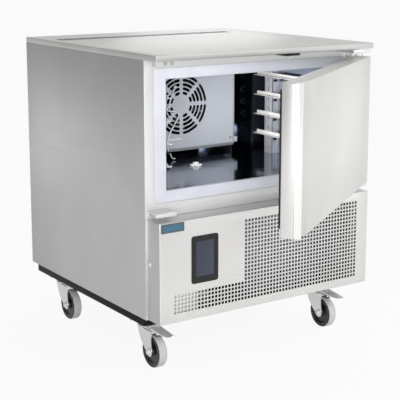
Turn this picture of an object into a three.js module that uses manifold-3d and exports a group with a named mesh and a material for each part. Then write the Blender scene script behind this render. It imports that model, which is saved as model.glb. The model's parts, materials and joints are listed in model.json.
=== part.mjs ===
// Undercounter blast chiller on castors: stainless cabinet, insulated chamber with an open door,
// refrigeration compartment behind a perforated fascia, and four swivel castors.
// Millimetres. +Z is up, the front faces -Y, and the origin is on the floor under the middle of
// the worktop.

import * as THREE from 'three';
import { mergeGeometries, mergeVertices } from 'three/addons/utils/BufferGeometryUtils.js';
import Module from 'manifold-3d';

const wasm = await Module();
wasm.setup();

// ---------------------------------------------------------------- driving dimensions

// Cabinet
const WIDTH = 800;
const DEPTH = 820;
const HEIGHT = 950;
const WORKTOP_THICKNESS = 17;
const WORKTOP_OVERHANG = 65;
const SHEET = 1.2;
const FIT = 0.3;
const FASCIA_HEIGHT = 301;
const FASCIA_INSET = 7;
const BASE_HEIGHT = 35;
const BASE_INSET = 20;
const BASE_SETBACK = 110;
const BASE_SHEET = 2.5;
const SHELF_FLANGE = 25;

// Worktop vent
const VENT_SLOTS = 34;
const VENT_SLOT_WIDTH = 8;
const VENT_SLOT_LENGTH = 60;
const VENT_LEFT = 36;
const VENT_RIGHT = 98;
const VENT_FROM_BACK = 170;

// Back panel
const GLAND_FROM_SIDE = 150;
const GLAND_RISE = 83;
const GLAND_RADIUS = 12;
const GLAND_COLLAR = 17;
const GLAND_LENGTH = 24;
const BACK_VENT_ROWS = 9;
const BACK_VENT_PITCH = 18;
const BACK_VENT_LENGTH = 200;
const BACK_VENT_HEIGHT = 7;
const BACK_VENT_FROM_SIDE = 100;
const BACK_VENT_RISE = 85;

// Chamber
const WALL = 72.5;
const CEILING_WALL = 57;
const SILL = 76;
const FLOOR_STEP = 5;
const BREAKER_DEPTH = 12;
const BREAKER_SIDE = 33;
const BREAKER_TOP = 25;
const BREAKER_BOTTOM = 40.5;
const FLOOR_WALL = 60;
const REAR_WALL = 50;
const REAR_DUCT = 23.5;
const DRAIN_RADIUS = 14;
const DRAIN_X = -22;
const DRAIN_SETBACK = 305;
const FLOOR_DISH = 4;
const FLOOR_RIM = 12;
const FLOOR_SHEET = 6;
const PLUG_ARM = 19;
const PLUG_ARM_WIDTH = 10;
const PLUG_ARM_HEIGHT = 4;
const PLUG_STEM = 15;
const PLUG_KNOB_RADIUS = 10;
const PLUG_KNOB_HEIGHT = 13;
const PLUG_TURN = -28;

// Evaporator
const COVER_WIDTH = 438;
const COVER_FROM_BACK = 256;
const COVER_DEPTH = 100;
const COVER_GAP = 23;
const COVER_SKIRT = 12;
const GUARD_RINGS = 5;
const GUARD_FIRST_RING = 39.5;
const GUARD_RING_PITCH = 14;
const GUARD_SLOT = 8.5;
const GUARD_SPOKES = 8;
const GUARD_SPOKE_WIDTH = 11;
const FAN_GAP = 12;
const FAN_RADIUS = 98;
const FAN_DEPTH = 26;
const FAN_HUB = 28;
const BLADE_SHEET = 2;
const BLADE_PITCH = 0.41;
const SHAFT_RADIUS = 4;
const MOTOR_RADIUS = 38;
const MOTOR_GAP = 5;
const STRAP_WIDTH = 24;
const STRAP_SHEET = 3;
const COIL_SIDE_GAP = 47.5;
const COIL_DEPTH = 95;
const COIL_COVER_GAP = 6;
const COIL_TOP_GAP = 12;
const COIL_LEGS = 26;
const COIL_BENDS = 6;
const END_PLATE = 2;
const END_PLATE_MARGIN = 4;
const BEND_SPREAD = 16;

// Core probe
const LEAD_RADIUS = 2.6;
const LEAD_STAND_OFF = 4;
const PROBE_X = -54;
const PROBE_GRIP_RADIUS = 5;
const PROBE_GRIP_LENGTH = 12;
const PROBE_GRIP_DROP = 5;
const HOOK_RADIUS = 2;
const CLIP_RADIUS = 5;
const CLIP_HEIGHT = 8;
const CLIP_BAR_LENGTH = 58;
const CLIP_BAR_RISE = 40;
const CLIP_BAR_HEIGHT = 7;

// Tray rails
const RAIL_LEVELS = 4;
const RAIL_FIRST = 64;
const RAIL_TOP_SPACE = 62;
const RAIL_SETBACK = 35;
const RAIL_COVER_GAP = 19;
const RAIL_LIP = 15;
const RAIL_FLANGE = 12;
const RAIL_SHEET = 1.5;
const POST_WIDTH = 43;
const POST_DEPTH = 26.9;
const POST_FROM_FRONT = 30;
const POST_FROM_BACK = 42;

// Door
const DOOR_SIDE_GAP = 7;
const DOOR_TOP_GAP = 26;
const DOOR_BOTTOM_GAP = 27;
const DOOR_THICKNESS = 52;
const DOOR_REST_ANGLE = 35;
const HINGE_FROM_SIDE = 25;
const HINGE_FROM_FRONT = 20;
const HINGE_PIN_RADIUS = 5;
const HINGE_PIN_LENGTH = 10;
const HINGE_PIN_PLAY = 2;
const GROOVE_DEPTH = 18;
const GROOVE_WIDTH = 57;
const GROOVE_FLOOR = 21;
const GRIP_BASE = 13;
const GRIP_LIP = 3;
const GRIP_EDGE = 2;
const GASKET_INSET = 17;
const GASKET_WIDTH = 20;
const GASKET_DEPTH = 12.7;
const LINER_INSET = 42;
const LINER_DEPTH = 6;

// Hinge brackets
const BRACKET_WIDTH = 70;
const BRACKET_REACH = 53;
const BRACKET_SHEET = 2;
const BRACKET_LIP = 10;
const LOWER_CLEARANCE = 1.5;
const UPPER_CLEARANCE = 11;
const BRACKET_FROM_SIDE = 2;
const BRACKET_FASCIA_GAP = 2;
const BRACKET_WORKTOP_GAP = 1;

// Door sensor
const SENSOR_LEFT = 465;
const SENSOR_WIDTH = 87;
const SENSOR_HEIGHT = 8;
const SENSOR_DEPTH = 7;
const SENSOR_GAP = 12;
const LUG_LEFT = 46;
const LUG_WIDTH = 20;
const LUG_DROP = 8;

// Fascia perforation
const HOLE_PITCH = 32;
const HOLE_SIZE = 16;
const GRILLE_LEFT = 307;
const GRILLE_RIGHT = 55;
const GRILLE_BOTTOM = 27;
const GRILLE_TOP = 15;
const STRIP_LEFT = 57;
const STRIP_ROWS = 2;

// Control panel
const BEZEL_LEFT = 115;
const BEZEL_BOTTOM = 106;
const BEZEL_WIDTH = 93.5;
const BEZEL_HEIGHT = 142;
const BEZEL_RADIUS = 8;
const BEZEL_PROUD = 2;
const BEZEL_DEPTH = 20;
const SCREEN_WIDTH = 64;
const SCREEN_HEIGHT = 106;
const SCREEN_RISE = 19.5;
const SCREEN_SEAT = 1;
const SCREEN_SUNK = 0.4;
const BADGE_LEFT = 12;
const BADGE_WIDTH = 78;
const BADGE_HEIGHT = 27;
const BADGE_DROP = 4;
const BADGE_SHEET = 1.2;
const BADGE_RADIUS = 1.5;
const TRIM_GAP = 0.1;

// Castors
const WHEEL_RADIUS = 50;
const WHEEL_WIDTH = 28;
const TYRE_THICKNESS = 4;
const CASTOR_HEIGHT = 142;
const CASTOR_TRAIL = 42;
const CASTOR_FROM_SIDE = 70;
const CASTOR_FROM_FRONT = 175;
const CASTOR_FROM_BACK = 105;
const CASTOR_PLATE_X = 85;
const CASTOR_PLATE_Y = 105;
const CASTOR_PLATE_SHEET = 3;
const CASTOR_PLATE_RADIUS = 8;
const SWIVEL_RADIUS = 27;
const SWIVEL_HEIGHT = 12;
const CROWN_HEIGHT = 9;
const FORK_SHEET = 3;
const FORK_GAP = 3;
const FORK_REAR = 24;
const FORK_FRONT = 50;
const FORK_FOOT = 14;
const BRIDGE_FRONT = 34;
const BRIDGE_REAR = 20;
const AXLE_RADIUS = 5;
const AXLE_HEAD_RADIUS = 9;
const AXLE_HEAD_HEIGHT = 6;
const AXLE_END = 8;
const WHEEL_SIDES = 20;
const HUB_RADIUS = 14;
const HUB_PROUD = 1.5;
const WEB_SUNK = 5;
const TREAD_EDGE = 4;
const PEDAL_REACH = 154;
const PEDAL_WIDTH = 32;
const PEDAL_PIVOT_Y = -41;
const PEDAL_PIVOT_DROP = 3;
const PEDAL_HUB = 6;
const PAD_INSET = 4;

// Refrigeration compartment
const COMPRESSOR_RADIUS = 92;
const COMPRESSOR_HEIGHT = 215;
const COMPRESSOR_FROM_CONDENSER = 132;
const COMPRESSOR_FROM_BACK = 280;
const FOOT_HEIGHT = 16;
const FOOT_RADIUS = 12;
const FOOT_OVERHANG = 8;
const FOOT_PLATE_OVERHANG = 22;
const SEAM_PROUD = 4;
const CONDENSER_WIDTH = 320;
const CONDENSER_FROM_SIDE = 78;
const CONDENSER_FROM_FRONT = 130;
const CONDENSER_HEIGHT = 285;
const CONDENSER_DEPTH = 44;
const CONDENSER_LEGS = 6;
const CONDENSER_BENDS = 5;
const CONDENSER_FAN_RADIUS = 118;
const CONDENSER_FAN_DEPTH = 30;
const CONDENSER_FAN_HUB = 32;
const CONDENSER_MOTOR_LENGTH = 60;
const PIPE_RADIUS = 5;
const PIPE_BEND = 20;
const PIPE_RISE = 0.7;
const PIPE_STUB = 2;
const CONTROL_BOX_WIDTH = 180;
const CONTROL_BOX_HEIGHT = 220;
const CONTROL_BOX_DEPTH = 80;
const CONTROL_BOX_SETBACK = 10;
const CONTROL_LID_EDGE = 3;

// ---------------------------------------------------------------- derived places

const HALF = WIDTH / 2;
const FRONT = -DEPTH / 2;
const BACK = DEPTH / 2;
const FACE = FRONT + WORKTOP_OVERHANG;
const BASE_BOTTOM = CASTOR_HEIGHT;
const PANEL_BOTTOM = BASE_BOTTOM + BASE_HEIGHT;
const FASCIA_TOP = PANEL_BOTTOM + FASCIA_HEIGHT;
const BODY_TOP = HEIGHT - WORKTOP_THICKNESS;
const INNER_HALF = HALF - SHEET - FIT;
const INNER_BACK = BACK - SHEET - FIT;

const CHAMBER_HALF = HALF - WALL;
const OPENING_BOTTOM = FASCIA_TOP + SILL;
const CHAMBER_TOP = BODY_TOP - CEILING_WALL;
const CHAMBER_FLOOR = OPENING_BOTTOM - FLOOR_STEP;
const CHAMBER_BACK = INNER_BACK - REAR_DUCT - REAR_WALL;
const BODY_BOTTOM = CHAMBER_FLOOR - FLOOR_WALL;
const LINER_FRONT = FACE + BREAKER_DEPTH + FIT;
const DRAIN_Y = FACE + DRAIN_SETBACK;

const COVER_Y = CHAMBER_BACK - COVER_FROM_BACK;
const COVER_BOTTOM = CHAMBER_FLOOR + COVER_GAP;
const COVER_TOP = CHAMBER_TOP - FIT;
const GUARD_Z = (COVER_BOTTOM + COVER_SKIRT + COVER_TOP) / 2;
const FAN_Y = COVER_Y + SHEET + FAN_GAP;
const COIL_Y = COVER_Y + COVER_DEPTH + COIL_COVER_GAP;
const COIL_WIDTH = 2 * (CHAMBER_HALF - COIL_SIDE_GAP);
const COIL_HEIGHT = CHAMBER_TOP - CHAMBER_FLOOR - COIL_TOP_GAP;

const RAIL_SPACE = CHAMBER_TOP - CHAMBER_FLOOR - RAIL_FIRST - RAIL_TOP_SPACE;
const RAIL_PITCH = RAIL_SPACE / (RAIL_LEVELS - 1);
const RAIL_FACE = CHAMBER_HALF - FIT - POST_DEPTH;

const HINGE_X = HALF - HINGE_FROM_SIDE;
const HINGE_Y = FRONT + HINGE_FROM_FRONT;
const DOOR_TOP = BODY_TOP - DOOR_TOP_GAP;
const DOOR_BOTTOM = FASCIA_TOP + DOOR_BOTTOM_GAP;
const DOOR_WIDTH = WIDTH - 2 * DOOR_SIDE_GAP;
const DOOR_RIGHT = HINGE_FROM_SIDE - DOOR_SIDE_GAP;
const DOOR_LEFT = DOOR_RIGHT - DOOR_WIDTH;
const DOOR_FRONT = FRONT - HINGE_Y;
const DOOR_BACK = DOOR_FRONT + DOOR_THICKNESS;

const CROWN_TOP = CASTOR_HEIGHT - CASTOR_PLATE_SHEET - SWIVEL_HEIGHT;
const CROWN_BOTTOM = CROWN_TOP - CROWN_HEIGHT;
const FORK_HALF = WHEEL_WIDTH / 2 + FORK_GAP + FORK_SHEET;
const AXLE_Z = WHEEL_RADIUS;

const COMPARTMENT_FLOOR = BASE_BOTTOM + BASE_SHEET + FIT;
const CONDENSER_X = HALF - CONDENSER_FROM_SIDE - CONDENSER_WIDTH / 2;
const COMPRESSOR_X = CONDENSER_X - CONDENSER_WIDTH / 2 - COMPRESSOR_FROM_CONDENSER;
const COMPRESSOR_Y = BACK - COMPRESSOR_FROM_BACK;
const CONDENSER_Y = FRONT + CONDENSER_FROM_FRONT;
const CONDENSER_FAN_Z = COMPARTMENT_FLOOR + CONDENSER_HEIGHT / 2;
const CONDENSER_FAN_Y = CONDENSER_Y + CONDENSER_DEPTH + FAN_GAP;

// How far a cutting tool runs past what it cuts.
const EPS = 5;

// ---------------------------------------------------------------- geometry helpers

// A closed box between two values on each axis.
function block(x0, x1, y0, y1, z0, z1) {
  const geometry = new THREE.BoxGeometry(x1 - x0, y1 - y0, z1 - z0);
  return geometry.translate((x0 + x1) / 2, (y0 + y1) / 2, (z0 + z1) / 2);
}

// A cylinder from one end point along +X, +Y or +Z.
function rod(axis, radius, from, to, a, b, sides = 16) {
  const geometry = new THREE.CylinderGeometry(radius, radius, to - from, sides);
  const middle = (from + to) / 2;
  if (axis === 'x') return geometry.rotateZ(Math.PI / 2).translate(middle, a, b);
  if (axis === 'y') return geometry.translate(a, middle, b);
  return geometry.rotateX(Math.PI / 2).translate(a, b, middle);
}

// A turned body: profile points are [radius, height], on the axis at both ends.
function turned(profile, sides = 24) {
  const points = profile.map(([r, h]) => new THREE.Vector2(r, h));
  return new THREE.LatheGeometry(points, sides);
}

// A plate cut to an outline in the XY plane and raised along Z.
function plate(outline, z0, z1) {
  const shape = outline instanceof THREE.Shape ? outline : polygon(outline);
  const settings = { depth: z1 - z0, bevelEnabled: false, curveSegments: 4 };
  return new THREE.ExtrudeGeometry(shape, settings).translate(0, 0, z0);
}

// The same plate standing in the XZ plane, from y0 to y1.
function wallPlate(outline, y0, y1) {
  return plate(outline, -y1, -y0).rotateX(Math.PI / 2);
}

// The same plate standing in the YZ plane, from x0 to x1; the outline's points are (y, z).
function sidePlate(outline, x0, x1) {
  return plate(outline, x0, x1).applyMatrix4(new THREE.Matrix4().set(
    0, 0, 1, 0,
    1, 0, 0, 0,
    0, 1, 0, 0,
    0, 0, 0, 1,
  ));
}

function polygon(points) {
  return new THREE.Shape(points.map(([x, y]) => new THREE.Vector2(x, y)));
}

function roundedRectangle(x0, x1, y0, y1, radius) {
  const shape = new THREE.Shape();
  shape.moveTo(x0 + radius, y0);
  shape.lineTo(x1 - radius, y0);
  shape.absarc(x1 - radius, y0 + radius, radius, -Math.PI / 2, 0);
  shape.lineTo(x1, y1 - radius);
  shape.absarc(x1 - radius, y1 - radius, radius, 0, Math.PI / 2);
  shape.lineTo(x0 + radius, y1);
  shape.absarc(x0 + radius, y1 - radius, radius, Math.PI / 2, Math.PI);
  shape.lineTo(x0, y0 + radius);
  shape.absarc(x0 + radius, y0 + radius, radius, Math.PI, Math.PI * 1.5);
  return shape;
}

function toSolid(geometry) {
  const bare = geometry.index ? geometry.toNonIndexed() : geometry.clone();
  bare.deleteAttribute('normal');
  bare.deleteAttribute('uv');
  const merged = mergeVertices(bare, 1e-3);
  const index = merged.index.array;
  const kept = [];
  for (let i = 0; i < index.length; i += 3) {
    const [a, b, c] = [index[i], index[i + 1], index[i + 2]];
    if (a !== b && b !== c && c !== a) kept.push(a, b, c);
  }
  return new wasm.Manifold(new wasm.Mesh({
    numProp: 3,
    vertProperties: Float32Array.from(merged.attributes.position.array),
    triVerts: Uint32Array.from(kept),
  }));
}

function toGeometry(solid) {
  const mesh = solid.getMesh();
  const geometry = new THREE.BufferGeometry();
  geometry.setAttribute('position', new THREE.BufferAttribute(mesh.vertProperties, 3));
  geometry.setIndex(new THREE.BufferAttribute(mesh.triVerts, 1));
  return geometry;
}

// Joins pieces that touch or overlap into one closed body.
function join(...geometries) {
  return toGeometry(geometries.map(toSolid).reduce((sum, next) => sum.add(next)));
}

// Cuts every tool out of a body; the tools must not overlap each other.
function cut(body, ...tools) {
  const bare = tools.map((tool) => {
    const copy = tool.index ? tool.toNonIndexed() : tool.clone();
    copy.deleteAttribute('normal');
    copy.deleteAttribute('uv');
    return copy;
  });
  return toGeometry(toSolid(body).subtract(toSolid(mergeGeometries(bare))));
}

// Moves every side of a closed outline, listed anticlockwise, inwards by one distance.
function inset(points, distance) {
  return points.map((point, i) => {
    const before = points[(i + points.length - 1) % points.length];
    const after = points[(i + 1) % points.length];
    const [ax, ay] = [point[0] - before[0], point[1] - before[1]];
    const [bx, by] = [after[0] - point[0], after[1] - point[1]];
    const [la, lb] = [Math.hypot(ax, ay), Math.hypot(bx, by)];
    const [nax, nay] = [-ay / la, ax / la];
    const [nbx, nby] = [-by / lb, bx / lb];
    const scale = distance / (1 + nax * nbx + nay * nby);
    return [point[0] + scale * (nax + nbx), point[1] + scale * (nay + nby)];
  });
}

// Mirror image in X or Z, with the triangles turned so that they still face out.
function flipped(geometry, x, z) {
  const copy = geometry.clone().scale(x, 1, z);
  const index = copy.index.array;
  for (let i = 0; i < index.length; i += 3) {
    const second = index[i + 1];
    index[i + 1] = index[i + 2];
    index[i + 2] = second;
  }
  return copy;
}

function mirrored(geometry) {
  return flipped(geometry, -1, 1);
}

// ---------------------------------------------------------------- materials

function finish(color, roughness, metalness) {
  return new THREE.MeshStandardMaterial({ color, roughness, metalness, flatShading: true });
}

const STEEL = finish(0xd8d8d5, 0.35, 0.85);
const BRIGHT_STEEL = finish(0xe4e4e2, 0.22, 0.95);
const LINER_STEEL = finish(0x9aa0a8, 0.25, 0.9);
const BLACK_PAINT = finish(0x151515, 0.55, 0.2);
const BREAKER_PLASTIC = finish(0xe6e7f5, 0.4, 0);
const FOAM = finish(0xe8dfae, 0.9, 0);
const SEAL_RUBBER = finish(0x101010, 0.7, 0);
const BEZEL_PLASTIC = finish(0x161616, 0.3, 0);
const SCREEN_GLASS = finish(0x4c5268, 0.1, 0);
const BADGE_ENAMEL = finish(0x3f87a3, 0.35, 0.1);
const ZINC = finish(0xc9c9c8, 0.3, 0.9);
const WHEEL_BLACK = finish(0x1a1a1a, 0.45, 0);
const TYRE_GREY = finish(0xc8c8c8, 0.8, 0);
const COPPER = finish(0xb87348, 0.3, 0.95);
const FIN_ALUMINIUM = finish(0x8c9196, 0.5, 0.7);
const DARK_PLASTIC = finish(0x1c1c1e, 0.5, 0);

const chiller = new THREE.Group();

function place(name, geometry, material, parent = chiller) {
  const mesh = new THREE.Mesh(geometry, material);
  mesh.name = name;
  parent.add(mesh);
  return mesh;
}

// ---------------------------------------------------------------- cabinet shell

// Folded sheet top, hollow underneath so that air from the rear duct reaches the slots.
function worktop() {
  const tray = block(-HALF, HALF, FRONT, BACK, BODY_TOP, HEIGHT);
  const hollow = block(-HALF + SHEET, HALF - SHEET, FRONT + SHEET, BACK - SHEET,
    BODY_TOP - EPS, HEIGHT - SHEET);
  const slotY = BACK - VENT_FROM_BACK;
  const span = WIDTH - VENT_LEFT - VENT_RIGHT - VENT_SLOT_WIDTH;
  const slots = [];
  for (let i = 0; i < VENT_SLOTS; i += 1) {
    const x = -HALF + VENT_LEFT + (span * i) / (VENT_SLOTS - 1);
    slots.push(block(x, x + VENT_SLOT_WIDTH, slotY - VENT_SLOT_LENGTH / 2,
      slotY + VENT_SLOT_LENGTH / 2, HEIGHT - 2 * SHEET, HEIGHT + EPS));
  }
  return cut(cut(tray, hollow), ...slots);
}

// Side panel with a bottom flange on the base and a shelf flange that carries the chamber.
function sidePanel(side) {
  const inner = HALF - SHEET;
  const frontEdge = FACE + SHEET + FIT;
  const rearEdge = BACK - SHEET - FIT;
  const top = BODY_TOP - FIT;
  const shelfTop = BODY_BOTTOM - FIT;
  const panel = join(
    block(inner, HALF, frontEdge, rearEdge, PANEL_BOTTOM, top),
    block(HALF - BASE_INSET - SHELF_FLANGE, HALF - SHEET / 2, frontEdge, rearEdge,
      PANEL_BOTTOM, PANEL_BOTTOM + SHEET),
    block(inner - SHELF_FLANGE, HALF - SHEET / 2, frontEdge, rearEdge, shelfTop - SHEET, shelfTop),
  );
  return side > 0 ? panel : mirrored(panel);
}

function glandPlace() {
  return [-HALF + GLAND_FROM_SIDE, PANEL_BOTTOM + GLAND_RISE];
}

function backPanel() {
  const sheet = block(-HALF, HALF, BACK - SHEET, BACK, PANEL_BOTTOM, BODY_TOP - FIT);
  const louvres = [];
  const x1 = HALF - BACK_VENT_FROM_SIDE;
  for (let row = 0; row < BACK_VENT_ROWS; row += 1) {
    const z = PANEL_BOTTOM + BACK_VENT_RISE + row * BACK_VENT_PITCH;
    louvres.push(block(x1 - BACK_VENT_LENGTH, x1, BACK - 2 * SHEET, BACK + EPS,
      z, z + BACK_VENT_HEIGHT));
  }
  const glandHole = rod('y', GLAND_RADIUS + FIT, BACK - 2 * SHEET, BACK + EPS, ...glandPlace());
  return cut(sheet, glandHole, ...louvres);
}

// Cable gland held by a nut inside the panel, with its round nose out through the hole.
function powerGland() {
  const inside = BACK - SHEET - FIT;
  const nut = GLAND_LENGTH / 4;
  return join(
    rod('y', GLAND_RADIUS, inside - 2 * nut, inside - 2 * nut + GLAND_LENGTH, ...glandPlace()),
    rod('y', GLAND_COLLAR, inside - nut, inside, ...glandPlace(), 6),
  );
}

// Chassis tray that the compartment stands on, with an apron to the chamber's front plane.
function baseFrame() {
  const half = HALF - BASE_INSET;
  const front = FRONT + BASE_SETBACK;
  const top = PANEL_BOTTOM - FIT;
  const wall = BASE_SHEET;
  const tray = cut(
    block(-half, half, front, INNER_BACK, BASE_BOTTOM, top),
    block(-half + wall, half - wall, front + wall, INNER_BACK - wall,
      BASE_BOTTOM + wall, top + EPS),
  );
  return join(tray, block(-half, half, FACE + SHEET, front + wall / 2, top - wall, top));
}

function frontSurround() {
  const sheet = wallPlate([[-HALF, FASCIA_TOP + FIT], [HALF, FASCIA_TOP + FIT],
    [HALF, BODY_TOP - FIT], [-HALF, BODY_TOP - FIT]], FACE, FACE + SHEET);
  const half = HALF - BREAKER_SIDE;
  const window = block(-half, half, FACE - EPS, FACE + EPS,
    FASCIA_TOP + BREAKER_BOTTOM, BODY_TOP - BREAKER_TOP);
  return cut(sheet, window);
}

// Plastic frame that parts the warm outer skin from the cold liner.
function breakerFrame() {
  const half = HALF - BREAKER_SIDE - FIT;
  const outer = block(-half, half, FACE, FACE + BREAKER_DEPTH,
    FASCIA_TOP + BREAKER_BOTTOM + FIT, BODY_TOP - BREAKER_TOP - FIT);
  const opening = block(-CHAMBER_HALF, CHAMBER_HALF, FACE - EPS, FACE + BREAKER_DEPTH + EPS,
    OPENING_BOTTOM, CHAMBER_TOP);
  return cut(outer, opening);
}

function insulatedBody() {
  const front = LINER_FRONT + FIT;
  const shell = block(-INNER_HALF, INNER_HALF, front, INNER_BACK - REAR_DUCT, BODY_BOTTOM,
    BODY_TOP - FIT);
  const skin = SHEET + FIT;
  const cavity = block(-CHAMBER_HALF - skin, CHAMBER_HALF + skin, front - EPS, CHAMBER_BACK + skin,
    CHAMBER_FLOOR - FLOOR_SHEET - FIT, CHAMBER_TOP + skin);
  const spout = DRAIN_RADIUS + SHEET * 2;
  const drain = rod('z', spout + FIT, BODY_BOTTOM - EPS, CHAMBER_FLOOR, DRAIN_X, DRAIN_Y);
  return cut(cut(shell, cavity), drain);
}

// Chamber lining with a floor dished to the drain, which leaves four creases in an X.
function chamberLiner() {
  const skin = SHEET;
  const bottom = CHAMBER_FLOOR - FLOOR_SHEET;
  const shell = cut(
    block(-CHAMBER_HALF - skin, CHAMBER_HALF + skin, LINER_FRONT, CHAMBER_BACK + skin,
      bottom, CHAMBER_TOP + skin),
    block(-CHAMBER_HALF, CHAMBER_HALF, LINER_FRONT - EPS, CHAMBER_BACK, CHAMBER_FLOOR, CHAMBER_TOP),
  );
  const spout = rod('z', DRAIN_RADIUS + 2 * SHEET, BODY_BOTTOM, bottom + SHEET, DRAIN_X, DRAIN_Y);
  const bore = rod('z', DRAIN_RADIUS, BODY_BOTTOM - EPS, CHAMBER_FLOOR + EPS, DRAIN_X, DRAIN_Y);
  return cut(cut(join(shell, spout), floorDish()), bore);
}

// Four-sided shallow pyramid, point down over the drain.
function floorDish() {
  const half = CHAMBER_HALF - FLOOR_RIM;
  const y0 = LINER_FRONT + FLOOR_RIM;
  const y1 = CHAMBER_BACK - FLOOR_RIM;
  const top = CHAMBER_FLOOR + FIT;
  const positions = [
    -half, y0, top, half, y0, top, half, y1, top, -half, y1, top,
    DRAIN_X, DRAIN_Y, CHAMBER_FLOOR - FLOOR_DISH,
  ];
  const geometry = new THREE.BufferGeometry();
  geometry.setAttribute('position', new THREE.Float32BufferAttribute(positions, 3));
  geometry.setIndex([0, 1, 2, 0, 2, 3, 1, 0, 4, 2, 1, 4, 3, 2, 4, 0, 3, 4]);
  return geometry;
}

// Plug with a crossed hand grip and a central knob.
function drainPlug() {
  const half = PLUG_ARM_WIDTH / 2;
  const low = 5 * FIT;
  const high = low + PLUG_ARM_HEIGHT;
  const plug = join(
    rod('z', DRAIN_RADIUS - FIT, -PLUG_STEM, low + FIT, 0, 0),
    block(-PLUG_ARM, PLUG_ARM, -half, half, low, high),
    block(-half, half, -PLUG_ARM, PLUG_ARM, low, high),
    rod('z', PLUG_KNOB_RADIUS, low, PLUG_KNOB_HEIGHT, 0, 0, 12),
  );
  plug.rotateZ(THREE.MathUtils.degToRad(PLUG_TURN));
  return plug.translate(DRAIN_X, DRAIN_Y, CHAMBER_FLOOR - FLOOR_DISH);
}

// ---------------------------------------------------------------- fascia and controls

function fasciaPanel() {
  const half = HALF - FASCIA_INSET;
  const rear = FACE - FIT;
  const shell = cut(
    block(-half, half, FRONT, rear, PANEL_BOTTOM, FASCIA_TOP),
    block(-half + SHEET, half - SHEET, FRONT + SHEET, rear + EPS, PANEL_BOTTOM + SHEET,
      FASCIA_TOP - SHEET),
  );
  const holes = [];
  const x1 = HALF - GRILLE_RIGHT;
  const columns = Math.floor((x1 - (GRILLE_LEFT - HALF)) / HOLE_PITCH);
  const rows = Math.floor((FASCIA_HEIGHT - GRILLE_BOTTOM - GRILLE_TOP) / HOLE_PITCH);
  const extra = Math.floor((GRILLE_LEFT - STRIP_LEFT) / HOLE_PITCH);
  for (let row = 0; row < rows; row += 1) {
    const z = PANEL_BOTTOM + GRILLE_BOTTOM + row * HOLE_PITCH;
    const across = row < STRIP_ROWS ? columns + extra : columns;
    for (let column = 0; column < across; column += 1) {
      const x = x1 - column * HOLE_PITCH - HOLE_SIZE;
      holes.push(block(x, x + HOLE_SIZE, FRONT - EPS, FRONT + 2 * SHEET, z, z + HOLE_SIZE));
    }
  }
  const [bx, bz] = bezelCorner();
  const rim = BEZEL_RADIUS;
  const window = block(bx + rim, bx + BEZEL_WIDTH - rim, FRONT - EPS, FRONT + 2 * SHEET,
    bz + rim, bz + BEZEL_HEIGHT - rim);
  return cut(shell, window, ...holes);
}

function bezelCorner() {
  return [BEZEL_LEFT - HALF, PANEL_BOTTOM + BEZEL_BOTTOM];
}

function controlBezel() {
  const [x, z] = bezelCorner();
  const front = wallPlate(roundedRectangle(x, x + BEZEL_WIDTH, z, z + BEZEL_HEIGHT, BEZEL_RADIUS),
    FRONT - BEZEL_PROUD, FRONT - TRIM_GAP);
  const rim = BEZEL_RADIUS + FIT;
  const housing = block(x + rim, x + BEZEL_WIDTH - rim, FRONT - BEZEL_PROUD / 2,
    FRONT + BEZEL_DEPTH, z + rim, z + BEZEL_HEIGHT - rim);
  const [sx, sz] = screenCorner();
  const recess = block(sx, sx + SCREEN_WIDTH, FRONT - BEZEL_PROUD - EPS, FRONT + SCREEN_SEAT,
    sz, sz + SCREEN_HEIGHT);
  return cut(join(front, housing), recess);
}

function screenCorner() {
  const [x, z] = bezelCorner();
  return [x + (BEZEL_WIDTH - SCREEN_WIDTH) / 2, z + SCREEN_RISE];
}

function controlScreen() {
  const [x, z] = screenCorner();
  return block(x + FIT, x + SCREEN_WIDTH - FIT, FRONT - BEZEL_PROUD + SCREEN_SUNK,
    FRONT + SCREEN_SEAT - FIT, z + FIT, z + SCREEN_HEIGHT - FIT);
}

function badgePlate() {
  const x = BADGE_LEFT - HALF;
  const top = FASCIA_TOP - BADGE_DROP;
  const outline = roundedRectangle(x, x + BADGE_WIDTH, top - BADGE_HEIGHT, top, BADGE_RADIUS);
  return wallPlate(outline, FRONT - BADGE_SHEET, FRONT - TRIM_GAP);
}

// ---------------------------------------------------------------- hinge brackets

// Angle bracket: a foot on the surround and a shelf, lipped at its front edge.
function bracket(rise, pin) {
  const x1 = HALF - BRACKET_FROM_SIDE;
  const x0 = x1 - BRACKET_WIDTH;
  const face = FACE - FIT;
  const front = face - BRACKET_REACH;
  const parts = [
    block(x0, x1, front, face, 0, BRACKET_SHEET),
    block(x0, x1, face - BRACKET_SHEET, face, -rise, BRACKET_SHEET / 2),
    block(x0, x1, front, front + BRACKET_SHEET, -BRACKET_LIP, BRACKET_SHEET / 2),
  ];
  if (pin) parts.push(rod('z', HINGE_PIN_RADIUS, BRACKET_SHEET / 2, pin, HINGE_X, HINGE_Y, 16));
  return join(...parts);
}

function lowerBracket(pin) {
  const shelf = DOOR_BOTTOM - LOWER_CLEARANCE - BRACKET_SHEET;
  const length = LOWER_CLEARANCE + BRACKET_SHEET + HINGE_PIN_LENGTH;
  const rise = shelf - FASCIA_TOP - BRACKET_FASCIA_GAP;
  return bracket(rise, pin ? length : 0).translate(0, 0, shelf);
}

function upperBracket() {
  const shelf = DOOR_TOP + UPPER_CLEARANCE;
  const length = UPPER_CLEARANCE + BRACKET_SHEET + HINGE_PIN_LENGTH;
  const rise = BODY_TOP - shelf - BRACKET_SHEET - BRACKET_WORKTOP_GAP;
  return flipped(bracket(rise, length), 1, -1).translate(0, 0, shelf + BRACKET_SHEET);
}

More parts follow.
